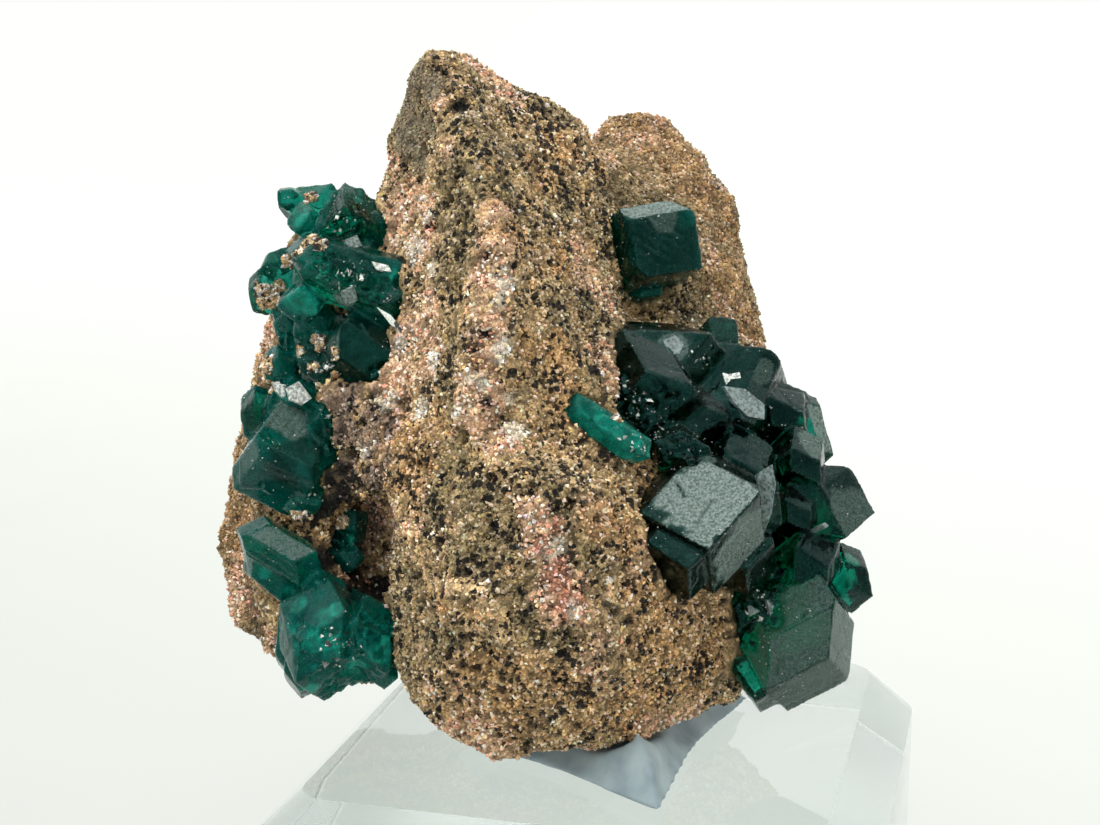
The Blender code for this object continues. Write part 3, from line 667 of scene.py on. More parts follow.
def grainColours(places, luck):
    # the rock's colour there, times each grain's own brightness and tint, some of them dark, pale or pink
    count = len(places)
    colour, shares = rockColour(places)
    kind = luck.random(count)
    bright = luck.lognormal(0.12, 0.38, count) ** (1.0 - 0.6 * shares["slate"])
    dark = kind < grains["dark"] * (1.0 + shares["olive"]) * (1.0 - shares["calm"])
    bright = np.where(dark, 0.14 + 0.2 * luck.random(count), bright)[:, None]
    more = 1.0 + grains["paleInSugar"] * shares["sugar"] + grains["paleInRose"] * shares["rose"]
    pale = (kind > 1.0 - grains["pale"] * more)[:, None]
    colour = colour * bright * grains["tints"][luck.choice(len(grains["tints"]), count)]
    pink = (luck.random(count) < 0.35 * shares["rose"]) & ~dark
    colour = np.where(pink[:, None], grains["pink"] * bright, colour)
    dull = 0.5 * smooth(1.1, 1.8, bright)
    colour = colour * (1.0 - dull) + colour.mean(axis=1, keepdims=True) * dull
    colour = np.where(pale, rock["sugar"] * luck.uniform(0.6, 1.0, (count, 1)), colour)
    return np.clip(colour * luck.normal(1.0, 0.05, (count, 3)), 0.0, 0.92), shares["calm"]


def sandGrains(points, faces, seat, look):
    luck = np.random.default_rng(7)
    count = int(grains["inPiece"] / coarse**2)
    weight = 1.0 - (1.0 - grains["onSeat"]) * seat
    weight = weight * (1.0 - (1.0 - grains["inHole"]) * rockColour(points)[1]["hole"])
    for number in range(grains["pieces"]):
        places, normals = scattered(points, faces, weight, count, luck)
        size = luck.uniform(grains["small"], grains["large"], (count, 1))
        size = size * luck.uniform(0.75, 1.25, (count, 3))
        places = places + normals * (size.mean(axis=1, keepdims=True) * (0.5 - grains["sunk"]))
        shapes, cells = grainShapes(places, size, luck)
        colour, calm = grainColours(places, luck)
        makeGrains(f"sand_grains_{number + 1}", shapes, cells, look, colour, {"calm": calm})
    print(f"sand grains: {grains['pieces']} pieces of {count}")


def grainLook():
    look, where = newLook("sand grains")
    speck = where.noise(7000.0, 2.0)
    # the black pits: dark specks and painted shade
    shade = speck.between(0.3, 0.7, 0.72, 1.25) * (pitSpecksAndShade(where) * 0.94 + 0.06)
    onSurface(where.shader({
        "Base Color": where.read("tint", "Color").shaded(shade),
        "Roughness": speck.between(0.35, 0.65, 0.35, 0.85), "IOR": 1.53,
    }))
    return look


# The crystals

crystals = {
    "spacing": 0.2, "ior": 1.66, "absorbed": (0.02, 0.80, 0.72), "density": 1150.0,
    "through": (0.5, 0.93, 0.85), "sheen": (0.08, 0.36, 0.31),
    # the emerald colour is the green of thin crystals with a painted glow of light coming through
    "teal": (0.001, 0.105, 0.083), "emerald": (0.006, 0.21, 0.15),
    # the dust colours and the way of the faces they cover stand for real dust and a painted sheen of the
    # light from above
    "dustAndSheen": linear(58, 80, 73), "paleDustAndSheen": linear(120, 134, 129), "dustAndSheenWay": (-0.15, -0.5, 0.85),
    "dustAndSheenShare": 0.12, "plate": 2.6, "plateDepth": 0.06, "plateLean": 0.012,
    "seamDepth": 0.06, "etchDepth": 0.05,
    "block": 0.95, "blockDepth": 0.45, "blockLean": 0.5, "blockSeam": 0.12, "massShare": 0.85,
    "stripe": 0.62, "stripeDepth": 0.16, "crackDepth": 0.3, "crackWidth": 0.13,
    "roundTurns": 3, "wornTurns": 14,
    "roughSpots": [
        (1.4, -5.4, 50.7, 1.8), (-0.3, -11.2, 50.0, 0.9), (3.0, -6.2, 48.0, 1.5),
        (5.9, -9.1, 46.7, 1.3), (2.1, -7.0, 49.0, 1.8), (0.5, -6.5, 51.0, 1.5), (4.9, -8.6, 47.3, 1.3),
        (11.9, -9.1, 34.1, 2.0), (11.3, -8.2, 30.8, 1.2), (11.7, -9.1, 34.0, 1.8),
        (12.8, -7.1, 35.1, 1.3), (10.9, -7.6, 30.6, 1.2), (13.8, -6.4, 35.8, 1.0),
        (-23.3, -2.0, 48.3, 1.0), (-23.0, -2.4, 45.8, 1.0), (-23.9, -3.2, 43.9, 0.7),
        (-21.8, 2.6, 63.7, 0.8), (-22.0, -1.6, 59.6, 1.5), (-19.5, -1.8, 59.2, 1.5),
        (-23.7, -0.8, 61.0, 1.2), (-27.3, 2.5, 53.4, 1.2), (-19.6, -7.5, 32.4, 1.2),
        (-24.7, -9.9, 30.5, 1.0), (-26.3, -1.8, 38.3, 0.7), (-22.7, -0.6, 37.1, 1.0),
        (-19.1, -3.3, 51.6, 1.2),
    ],
    "massSpots": [
        (-23.2, -9.6, 30.0, 2.6), (-19.5, -8.2, 30.5, 2.4), (-22.0, -7.5, 27.0, 2.2),
        (-25.6, -9.0, 31.9, 1.6), (0.0, -11.3, 49.7, 1.3), (2.0, -11.6, 48.2, 1.2),
        (-1.8, -11.0, 50.6, 1.0), (3.3, -6.9, 50.0, 2.0),
    ],
    # bright emerald: the green of thin crystals, with painted glow where light comes through them
    "emeraldSpots": [
        (-1.9, -11.2, 50.5, 0.8), (-0.8, -11.5, 49.7, 0.8), (0.2, -11.7, 49.1, 0.7),
        (1.5, -12.0, 48.4, 0.7), (3.3, -7.6, 46.0, 0.6), (-27.3, 5.0, 65.5, 0.9),
        (-25.7, 2.5, 64.1, 1.0), (-21.9, 1.3, 62.2, 0.5), (-21.5, 4.5, 65.6, 0.5),
        (-25.4, -2.1, 58.0, 1.6), (-24.8, -1.9, 57.3, 0.7), (-30.9, -2.8, 36.3, 0.6),
        (-29.1, -4.6, 35.4, 0.8), (15.0, -6.1, 45.3, 1.8), (14.7, -6.9, 41.4, 1.5),
        (19.5, -5.1, 34.1, 1.3), (20.6, -4.7, 35.2, 0.7), (4.3, -14.6, 40.8, 1.4),
        (3.1, -13.8, 39.4, 1.5), (5.8, -15.6, 38.6, 1.3), (2.6, -13.0, 37.8, 1.2),
        (12.2, -2.9, 52.2, 1.5), (10.2, -2.2, 52.6, 1.2), (-25.8, -7.1, 33.4, 0.7),
        (-24.5, -9.8, 31.3, 1.1), (-22.6, -9.9, 30.5, 1.3), (-21.6, -8.3, 28.2, 1.2),
        (-24.9, -8.7, 26.6, 1.0), (-19.1, -8.6, 29.6, 1.0), (-18.5, -8.3, 30.8, 0.7),
        (-23.7, -9.1, 32.8, 1.0), (-22.7, -8.9, 33.6, 0.7), (-26.9, -4.5, 33.9, 0.7),
        (-23.5, -1.1, 34.5, 0.5), (-22.2, -0.8, 37.1, 0.6), (-17.1, -1.6, 59.6, 0.5),
        (-18.1, -1.2, 60.1, 0.5),
    ],
    # faces painted grey: dust, and the grey sheen of the light they reflect painted on
    "frostAndSheenSpots": [
        (7.3, -12.9, 43.9, 3.6, 1.0), (10.0, -12.1, 39.8, 3.0, 0.7), (10.8, -4.7, 50.0, 2.6, 0.2),
        (16.0, -2.6, 48.5, 1.6, 0.8), (17.7, 0.0, 46.6, 2.4, 0.9), (16.7, -4.3, 46.3, 1.6, 0.5),
        (15.2, -8.8, 34.4, 4.5, 0.36), (12.0, -9.6, 29.5, 5.5, 0.36), (14.3, -10.4, 31.6, 7.0, 0.38),
        (17.3, -7.3, 26.0, 5.0, 0.36), (12.7, -10.6, 27.3, 3.0, 0.36), (18.7, -8.3, 28.6, 6.0, 0.6),
        (20.1, -5.3, 39.7, 3.0, 0.36), (12.1, -8.6, 42.8, 1.5, 0.6), (4.6, 4.8, 64.2, 1.3, 0.3),
        (1.6, 4.4, 64.5, 6.0, 0.95), (-27.3, -1.7, 48.3, 2.4, 0.5), (-26.7, -5.3, 38.0, 4.2, 0.5),
        (-25.9, -4.3, 42.0, 2.2, 0.35), (-24.3, 5.2, 65.0, 1.5, 0.3), (-26.4, -0.7, 50.0, 0.9, 0.7),
        (-22.1, -1.5, 58.1, 0.8, 0.6), (6.8, -9.4, 46.7, 1.5, 0.4), (12.2, -2.9, 52.2, 1.2, 0.3),
        (-29.9, -4.5, 45.1, 1.4, 0.3), (5.0, -2.7, 54.3, 1.2, 0.45),
    ],
    "darkSpots": [
        (3.3, -6.9, 50.7, 3.6), (7.2, -2.7, 52.3, 2.5), (9.8, -9.8, 45.6, 2.5), (12.1, -4.7, 46.8, 1.6),
        (11.9, -9.0, 34.5, 2.4), (12.3, -9.9, 31.4, 2.4), (-20.1, -2.7, 53.6, 3.2),
        (-21.9, 2.2, 64.5, 2.9), (-21.6, -1.4, 60.0, 3.7), (-18.7, -2.3, 58.1, 2.1),
        (-30.5, -0.1, 47.9, 1.5), (-23.0, -2.8, 46.4, 2.0), (-27.3, -5.3, 44.4, 1.6),
        (-21.2, -2.6, 55.6, 1.6), (0.5, -5.4, 52.0, 2.0), (9.8, -1.0, 53.7, 2.1),
        (-24.0, -0.1, 37.8, 1.7), (-24.0, -1.0, 52.5, 2.2), (0.0, 6.0, 61.0, 2.5),
        (3.5, 3.4, 61.0, 4.5), (14.3, -10.4, 31.6, 4.0), (12.0, -9.6, 29.0, 3.5),
        (14.5, -8.0, 35.0, 2.0),
    ],
    "stripedSpots": [
        (-26.7, -5.4, 37.8, 4.0, 0.55, 0.2, 0.8), (-27.3, -1.7, 48.3, 2.4, 0.8, 0.0, -0.5),
        (-21.6, -1.4, 60.0, 3.6, 0.3, -0.3, 0.9), (-22.4, 2.6, 63.7, 2.7, 0.9, 0.2, 0.3),
        (17.0, -0.3, 46.6, 2.2, 0.9, 0.4, 0.0), (1.6, 4.4, 64.5, 5.0, 0.1, 0.9, 0.5),
    ],
    "wornSpots": [
        (12.3, -9.0, 36.2, 2.2), (10.6, -10.0, 35.7, 2.2), (16.5, -9.0, 27.0, 2.2),
        (20.5, -6.5, 29.0, 2.0),
    ],
    "cracks": [
        [(4.9, -11.3, 44.9), (5.4, -12.3, 44.1)],
        [(9.2, -11.3, 45.5), (7.9, -13.0, 43.7), (7.5, -12.8, 43.9), (5.7, -14.9, 41.6)],
        [(16.0, -9.6, 34.9), (15.2, -9.9, 33.4), (15.8, -10.0, 31.8)],
        [(12.6, -10.2, 31.0), (13.6, -10.3, 30.2), (13.2, -10.5, 28.6)],
    ],
}
clusters = {  # the seed of each one's noise, and how much of it is emerald all over
    "crystal_cluster_right": (41, 0.0),
    "crystal_cluster_left": (42, 0.0),
    "crystal_cluster_lower_left": (43, 0.0),
    "crystal_green_splinter": (44, 0.75),
    "crystal_upper_right": (45, 0.0),
    "crystal_pocket_druse": (46, 0.0),
}


def leaning(number, offset):
    # a . d, where a is a direction made from the cell's number and d the way from the cell's middle
    return (np.sin(number[:, None] * np.array((37.0, 91.0, 53.0))) * offset).sum(axis=1)


def crystalNet(node, seed, green):
    # the flat-faced solid, p moved in by plateDepth * n + plateLean * (a . d) + seamDepth at the
    # plates' borders, where n is the growth plate's number; broken into small leaning blocks in the
    # rough places; cut by stripes and cracks; its outward edges worn round
    spacing = crystals["spacing"] * coarse
    points, faces = evenNet(node, spacing, hug=True)
    edges = netEdges(faces)
    normals = netNormals(points, faces)
    crest = ((points - neighbourMean(points, edges)) * normals).sum(axis=1)
    crest = smooth(0.05, 0.3, crest[:, None] / spacing)

    near, following, number, offset = pebbles(points, crystals["plate"], seed)
    seam = smooth(0.09, 0.0, following - near) * smooth(0.4, 0.6, clouds(points, 3.0, seed + 8))
    etched = smooth(0.55, 0.75, clouds(points, 0.6, seed + 3))
    sink = crystals["plateDepth"] * number + crystals["plateLean"] * leaning(number, offset)
    sink += crystals["seamDepth"] * seam + crystals["etchDepth"] * etched
    rough = patches(points, crystals["roughSpots"], 0.8, seed + 5)
    mass = patches(points, crystals["massSpots"], 0.8, seed + 6)
    rough = np.maximum(rough, crystals["massShare"] * mass)
    chip, beside, chipNumber, chipOffset = pebbles(points, crystals["block"], seed + 9)
    broken = crystals["blockDepth"] * chipNumber
    broken = broken + crystals["blockLean"] * leaning(chipNumber, chipOffset)
    sink += rough * (broken + crystals["blockSeam"] * smooth(0.2, 0.0, beside - chip))
    stripes = sawTeeth(points, crystals["stripedSpots"], crystals["stripe"], seed + 31)
    sink += crystals["stripeDepth"] * stripes
    cracked = np.maximum.reduce(
        [alongLine(points, line, crystals["crackWidth"]) for line in crystals["cracks"]]
    )
    sink += crystals["crackDepth"] * cracked
    flat = points
    points = points - normals * np.maximum(sink, 0.0)[:, None]

    wide = crest
    for turn in range(crystals["roundTurns"]):
        wide = np.maximum(crest, neighbourMean(wide, edges))
        pull = 0.5 * np.minimum(1.0, 1.6 * wide) * (1.0 - 0.92 * rough[:, None])
        points = relaxed(points, edges, pull)
    worn = patches(points, crystals["wornSpots"], 0.3, seed + 33)[:, None]
    for turn in range(crystals["wornTurns"] if worn.any() else 0):
        points = relaxed(points, edges, 0.5 * worn)

    # frost on the faces that look up and in the placed patches, grey dust with a painted sheen of the light
    # from above; green, dark and milky places inside
    way = np.array(crystals["dustAndSheenWay"]) / np.linalg.norm(crystals["dustAndSheenWay"])
    dustAndSheen = smooth(0.45, 0.85, normals @ way) * smooth(0.4, 0.56, clouds(points, 2.4, seed + 21))
    frostAndSheenPatches = facePatches(flat, normals, crystals["frostAndSheenSpots"], 0.8, seed + 23)
    frostAndSheen = np.maximum(crystals["dustAndSheenShare"] * dustAndSheen, frostAndSheenPatches) * (1.0 - rough) * (1.0 - cracked)
    # emerald: green of thin crystals and a painted glow of light coming through, also along the block
    # seams; it lightens tint and milk
    emerald = np.maximum(patches(points, crystals["emeraldSpots"], 1.0, seed + 25), green)
    veins = smooth(0.16, 0.02, beside - chip) * np.maximum(rough, 0.5 * emerald)
    emerald = np.clip(emerald * (0.3 + 0.9 * chipNumber) + 0.4 * veins, 0.0, 1.0)
    dark = patches(points, crystals["darkSpots"], 0.8, seed + 29) * (1.0 - emerald)
    milk = (0.36 + 0.12 * (number - 0.5) + 0.35 * emerald) * (1.0 - 0.5 * dark) + 0.2 * veins
    tint = np.array(crystals["teal"]) * (0.75 + 0.5 * clouds(points, 1.7, seed + 27))[:, None]
    tint = tint * (1.0 - 0.6 * dark[:, None]) * (1.0 - 0.7 * cracked[:, None])
    tint = tint * (1.0 - emerald[:, None]) + np.array(crystals["emerald"]) * emerald[:, None]
    return points, faces, {"wear": wide[:, 0], "frostAndSheen": frostAndSheen, "milk": milk, "rough": rough}, tint


def dioptaseLook():
    # clear and milky glass by the milk, under dusty frost with a painted grey sheen, worn edges, flecks and
    # painted glints
    look, where = newLook("dioptase")
    wear, frostAndSheen, milk, rough = (where.read(label) for label in ("wear", "frostAndSheen", "milk", "rough"))
    haze = where.noise(520.0, 4.0, 0.6)
    etch = where.noise(2600.0, 4.0, 0.7)
    flecks = where.noise(5000.0, 4.0, 0.75)
    chips = where.pebbled(2100.0)
    bump = (etch * (0.5 + frostAndSheen) + haze * 0.2 + flecks * 0.3).bump(0.3, 0.05)
    shine = haze.between(0.35, 0.65, 0.04, 0.2) + frostAndSheen * 0.2 + flecks.between(0.5, 0.6) * 0.12
    glassy = {
        "Roughness": shine, "IOR": crystals["ior"], "Normal": bump,
        "Specular Tint": rgba(crystals["sheen"]),
    }
    clear = where.shader({
        "Base Color": rgba(crystals["through"]), "Transmission Weight": 1.0, **glassy,
    })
    inside = where.shader({"Base Color": where.read("tint", "Color"), **glassy})
    # the grey of the frost: dust speckle and a painted sheen
    powderAndSheen = flecks.between(0.34, 0.66, 0.55, 1.0) * frostAndSheen.between(0.3, 0.95)
    dustAndSheenShader = where.shader({
        "Base Color": powderAndSheen.mixed(crystals["dustAndSheen"], crystals["paleDustAndSheen"]), "Roughness": 0.55,
        "Normal": bump,
    })
    cloudy = milk * haze.between(0.3, 0.7, 0.6, 1.4)
    body = where.node("MixShader", values={0: cloudy, 1: clear, 2: inside})
    flawSheenAndGlints = frostAndSheen.between(0.0, 0.5) * flecks.between(0.44, 0.54, 0.45, 0.97)
    flawSheenAndGlints = flawSheenAndGlints + wear * flecks.between(0.52, 0.6) * 0.35
    # pale specks in the rough places: painted glints
    flawSheenAndGlints = flawSheenAndGlints + flecks.between(0.68, 0.74) * (1.0 - chips) * (0.25 + rough * 0.5)
    shader = where.node("MixShader", values={0: flawSheenAndGlints, 1: body, 2: dustAndSheenShader})
    onSurface(shader, where.filled(crystals["absorbed"], crystals["density"]))
    return look


def dressCrystals():
    # every cluster's piece; gives back all of them as one net, for the bits that sit on them
    look = dioptaseLook()
    allPoints, allFaces, start = [], [], 0
    for node, (seed, green) in clusters.items():
        points, faces, numbers, tint = crystalNet(node, seed, green)
        piece = makePiece(
            node + "_grown", points, faces, look, numbers=numbers, tint=tint
        )
        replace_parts(piece, node)
        allPoints.append(points)
        allFaces.append(faces + start)
        start += len(points)
        print(f"{node}: {len(faces) * 2} triangles")
    return np.concatenate(allPoints), np.concatenate(allFaces)


# Bits of rock, and pale flakes with painted glints, that sit on the crystals

bits = {
    "small": 0.12, "large": 0.3, "count": 2600, "white": 0.3, "rusty": 0.25,
    "spots": [
        (-24.3, -0.6, 54.4, 0.5), (-23.8, -1.2, 50.5, 0.6), (-22.9, -2.4, 53.7, 0.4),
        (-29.4, 3.5, 58.0, 0.8), (-28.9, 3.8, 57.1, 0.7), (-28.3, 5.0, 58.2, 0.6),
        (-31.3, 16.1, 51.4, 0.7), (-29.3, 1.1, 52.0, 0.7), (-28.7, 1.1, 50.2, 0.8),
        (-25.2, 1.3, 62.5, 0.6), (-24.1, 0.2, 62.4, 0.5), (-26.0, 0.7, 61.8, 0.5),
        (-24.4, -0.3, 53.7, 0.4), (-26.1, -3.1, 39.5, 0.7), (-25.2, -2.3, 38.6, 0.7),
        (-24.3, -2.5, 39.4, 0.6), (-24.7, -2.5, 37.2, 0.5), (-23.0, -0.8, 38.7, 0.5),
        (-26.3, 1.3, 53.0, 0.4), (-24.9, -1.6, 52.5, 0.3), (-23.1, -1.2, 51.6, 0.4),
        (0.2, -10.5, 50.0, 0.4), (-25.8, 7.6, 62.5, 0.4), (-27.5, 4.1, 60.3, 0.5),
        (-25.7, 5.5, 65.6, 0.6), (-23.5, -1.7, 50.2, 0.4), (-22.2, -3.0, 47.3, 0.3),
    ],
}
# pale flakes and specks on the crystals: partly pale bits, partly painted glints of the light
flakesAndGlints = {
    "colour": linear(214, 220, 212), "count": 8, "specks": 2200,
    "spots": [
        (1.7, -10.7, 46.4, 0.2), (3.4, -5.6, 44.8, 0.3), (2.1, -9.1, 44.0, 0.2), (2.2, -5.9, 49.9, 0.2),
        (11.4, -4.4, 47.6, 0.2), (12.7, -8.0, 34.8, 0.2), (11.2, -8.8, 33.6, 0.3),
        (13.2, -9.0, 33.2, 0.2), (-0.6, -7.2, 52.1, 0.2), (3.5, -2.5, 54.4, 0.3),
        (-23.6, -2.2, 48.4, 0.2), (-23.0, -2.8, 46.4, 0.3), (-23.9, -2.9, 44.7, 0.3),
        (-25.8, -0.5, 61.0, 0.3), (-22.4, 2.4, 62.4, 0.3), (12.4, -8.0, 35.0, 0.2),
        (-19.2, -1.9, 57.2, 0.3), (-17.9, -2.0, 56.3, 0.3), (-26.5, -0.7, 50.0, 0.4),
        (-25.7, -0.8, 49.3, 0.3), (-30.3, -0.1, 47.0, 0.3), (-29.1, -5.1, 47.2, 0.2),
        (10.5, -2.9, 52.1, 0.3), (9.5, -2.9, 51.6, 0.3), (-21.6, -1.4, 60.0, 1.8),
        (-18.7, -2.3, 58.1, 1.0), (-22.4, 2.6, 63.7, 1.4), (-23.5, -1.8, 48.7, 1.2),
        (-23.0, -2.8, 46.4, 1.2), (1.9, -7.0, 50.0, 1.8), (0.5, -6.0, 51.5, 1.2),
        (3.5, -7.0, 48.5, 1.2), (11.9, -9.0, 34.0, 1.8), (7.2, -2.7, 53.0, 1.2),
        (-24.0, -1.0, 52.5, 1.6), (-22.5, -9.5, 30.5, 2.2), (1.5, -11.8, 48.4, 1.2),
        (-24.5, -4.0, 42.0, 1.0),
    ],
    "slivers": [
        ((-19.4, -2.3, 57.5), (-16.9, -3.4, 55.4), 0.3),
        ((-18.6, -2.6, 56.9), (-17.6, -2.6, 55.6), 0.22),
    ],
    "sliverShape": [(1, 0, 0), (-1, 0, 0), (0.1, 1, 0), (-0.2, -1, 0), (0, 0, 1), (0, 0, -1)],
}


def rockBits(points, faces, look):
    # grains on the crystals: the chance of a place is the square of the placed patches there
    luck = np.random.default_rng(17)
    count = int(bits["count"] / coarse**2)
    weight = patches(points, bits["spots"], 2.4, 71) ** 2 + 1e-9
    places, normals = scattered(points, faces, weight, count, luck)
    size = luck.uniform(bits["small"], bits["large"], (count, 1)) * luck.uniform(0.7, 1.3, (count, 3))
    places = places + normals * size.mean(axis=1, keepdims=True) * luck.uniform(-0.6, 0.4, (count, 1))
    shapes, cells = grainShapes(places, size, luck)
    kind = luck.random((count, 1))
    colour = np.where(kind < bits["white"] + bits["rusty"], rock["rust"], rock["tan"])
    colour = np.where(kind < bits["white"], 0.8 * rock["sugar"], colour)
    colour = colour * luck.lognormal(-0.1, 0.45, (count, 1))
    makeGrains("rock_bits", shapes, cells, look, np.clip(colour, 0.0, 0.9))
    print(f"rock bits: {count}")


def paleFlakesAndGlints(points, faces, look):
    # thin slabs lying on the crystals in small groups, specks over all of them, and two long slivers
    # from one point to another; their pale colour is partly painted glints
    luck = np.random.default_rng(19)
    count = flakesAndGlints["count"] * len(flakesAndGlints["spots"])
    weight = patches(points, flakesAndGlints["spots"], 0.3, 73) ** 3 + 1e-12
    places, normals = scattered(points, faces, weight, count, luck)
    size = (0.04 + 0.26 * luck.random((count, 1)) ** 3) * luck.uniform(0.25, 1.5, (count, 3))
    weight = smooth(0.4, 0.6, clouds(points, 3.5, 75)) + 0.1
    specks, above = scattered(points, faces, weight, flakesAndGlints["specks"], luck)
    small = luck.uniform(0.03, 0.075, (len(specks), 1)) * luck.uniform(0.5, 1.4, (len(specks), 3))
    shapes, cells = grainShapes(
        np.concatenate([places + normals * 0.05, specks + above * 0.02]),
        np.concatenate([size, small]), luck,
    )
    for start, end, width in flakesAndGlints["slivers"]:
        start, end = np.array(start), np.array(end)
        along = (end - start) / 2.0
        side = np.cross(along, (0.0, -1.0, 0.2))
        side *= width / np.linalg.norm(side)
        up = np.cross(side, along)
        up *= 0.5 * width / np.linalg.norm(up)
        sliver = np.array(flakesAndGlints["sliverShape"], float) @ np.stack([along, side, up])
        cells = np.concatenate([cells, octahedronFaces + len(shapes)])
        shapes = np.concatenate([shapes, (start + end) / 2.0 + sliver])
    bright = luck.uniform(0.25, 1.05, len(shapes) // len(octahedron))[:, None]
    makeGrains("pale_flakes_and_glints", shapes, cells, look, np.clip(flakesAndGlints["colour"] * bright, 0.0, 0.92))
    print(f"pale flakes and glints: {count}")


# growth plates on the crystal faces; their grey and white colours are painted reflections of the light
plates = {
    "thick": 0.3, "raised": 0.07,
    "grey": linear(118, 134, 131), "white": linear(206, 212, 205),
    "greyOnes": [
        [
            (9.0, -5.0, 51.4), (10.8, -4.2, 51.0), (12.5, -3.9, 49.6), (12.4, -4.5, 48.5),
            (11.0, -5.1, 48.9), (9.8, -5.2, 50.1),
        ],
        [(4.2, -2.4, 54.7), (5.2, -2.2, 55.1), (5.9, -2.6, 54.5), (5.5, -3.0, 53.7), (4.5, -3.0, 53.6)],
        [(12.5, -8.7, 34.4), (13.1, -8.5, 33.8), (12.8, -8.8, 32.9)],
        [(11.0, -8.7, 33.9), (11.8, -9.2, 33.5), (11.2, -8.8, 33.0)],
        [(15.6, -4.2, 38.6), (17.1, -7.0, 40.3), (17.4, -7.3, 40.1), (15.9, -4.4, 38.4)],
        [(-22.4, -1.7, 58.6), (-21.4, -2.3, 59.1), (-21.0, -1.8, 58.0), (-22.0, -1.1, 57.4)],
        [(-23.8, 2.0, 55.8), (-22.9, 2.9, 56.0), (-22.6, 2.6, 55.4), (-23.4, 1.6, 55.1)],
        [(-22.3, 1.4, 62.5), (-21.4, 2.4, 62.8), (-20.9, 1.6, 62.0), (-21.8, 0.6, 61.8)],
        [
            (11.4, -8.2, 44.8), (12.6, -8.6, 45.7), (12.9, -8.9, 44.1), (12.6, -8.9, 41.6),
            (12.1, -8.8, 40.1), (11.2, -8.2, 42.0),
        ],
    ],
    "whiteOnes": [
        [
            (9.1, -2.4, 52.0), (9.6, -2.7, 51.9), (10.5, -2.8, 52.1), (10.6, -3.2, 51.7),
            (9.8, -3.1, 51.6), (9.4, -3.2, 51.1),
        ],
        [
            (-27.2, -0.9, 50.4), (-26.3, -0.1, 50.8), (-25.2, -0.4, 49.4), (-25.9, -1.0, 49.0),
            (-26.9, -1.3, 49.5),
        ],
        [(-28.6, 0.6, 50.5), (-27.6, 0.0, 50.4), (-27.1, -0.2, 49.0), (-28.2, 0.5, 49.2)],
        [(-19.9, -0.6, 61.0), (-18.5, -0.8, 60.7), (-18.2, -1.1, 60.2), (-19.5, -1.0, 60.4)],
    ],
}


# the plates' tint is a painted reflection, speckled
def plateLook():
    look, where = newLook("plates with painted glints")
    flecks = where.noise(3400.0, 4.0, 0.75)
    onSurface(where.shader({
        "Base Color": where.read("tint", "Color").shaded(flecks.between(0.4, 0.62, 0.4, 1.3)),
        "Roughness": flecks.between(0.4, 0.6, 0.25, 0.5), "Normal": flecks.bump(0.4, 0.05), "IOR": 1.6,
    }))
    return look


def glintPlates():
    # each outline raised a little along its own normal, with a copy under it and walls between
    points, cells, tints, first = [], [], [], 0
    for tone in ("grey", "white"):
        for outline in plates[tone + "Ones"]:
            rim, count = np.array(outline), len(outline)
            spokes = rim - rim.mean(axis=0)
            way = np.cross(spokes, np.roll(rim, -1, axis=0) - rim.mean(axis=0)).sum(axis=0)
            way /= np.linalg.norm(way)
            if way[1] > 0.0:
                rim, way = rim[::-1], -way
            points += [rim + way * plates["raised"], rim - way * plates["thick"]]
            top = [first + step for step in range(count)]
            under = [first + count + step for step in range(count)]
            cells += [top, under[::-1]]
            cells += [[top[step - 1], under[step - 1], under[step], top[step]] for step in range(count)]
            tints.append(np.tile(plates[tone], (2 * count, 1)))
            first += 2 * count
    makePiece(
        "glint_plates", np.concatenate(points), cells, plateLook(), smoothFaces=False,
        tint=np.concatenate(tints),
    )
    print(f"plates with painted glints: {len(tints)}")


# The putty

putty = {
    "spacing": 0.45, "dent": 3.2, "dentDepth": 0.12, "smoothTurns": 4,
    "colour": linear(160, 177, 180), "deep": linear(128, 144, 151),
}


def puttyLook():
    look, where = newLook("grey putty")
    cloudy = where.noise(260.0, 3.0)
    fine = where.noise(2400.0, 3.0)
    onSurface(where.shader({
        "Base Color": cloudy.between(0.3, 0.7).mixed(putty["colour"], putty["deep"]),
        "Roughness": cloudy.between(0.3, 0.7, 0.42, 0.6), "Normal": (fine + cloudy).bump(0.2, 0.05),
        "Subsurface Weight": 0.2, "Subsurface Radius": (1.0, 1.0, 1.0), "Subsurface Scale": 0.6 * mm,
    }))
    return look


def dressPutty():
    # the pad's solid, p moved in by dentDepth times noise, and smoothed over the net
    points, faces = evenNet("putty", putty["spacing"], hug=True)
    edges = netEdges(faces)
    normals = netNormals(points, faces)
    points = points - normals * (putty["dentDepth"] * clouds(points, putty["dent"], 61))[:, None]
    for turn in range(putty["smoothTurns"]):
        points = relaxed(points, edges, 0.5)
    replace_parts(makePiece("putty_pressed", points, faces, puttyLook()), "putty")
    print("putty done")


# The clear block

block = {
    "side": 50.0, "height": 20.0, "bevel": 4.0, "corner": 5.0, "turn": -14.9, "edge": 0.3,
    "around": 96, "hardTurn": 22.0, "ior": 1.49, "absorbed": (0.72, 0.92, 0.82), "density": 6.0,
    "clean": (1.0, 1.0, 1.0), "smeared": (0.96, 0.99, 0.975),
}


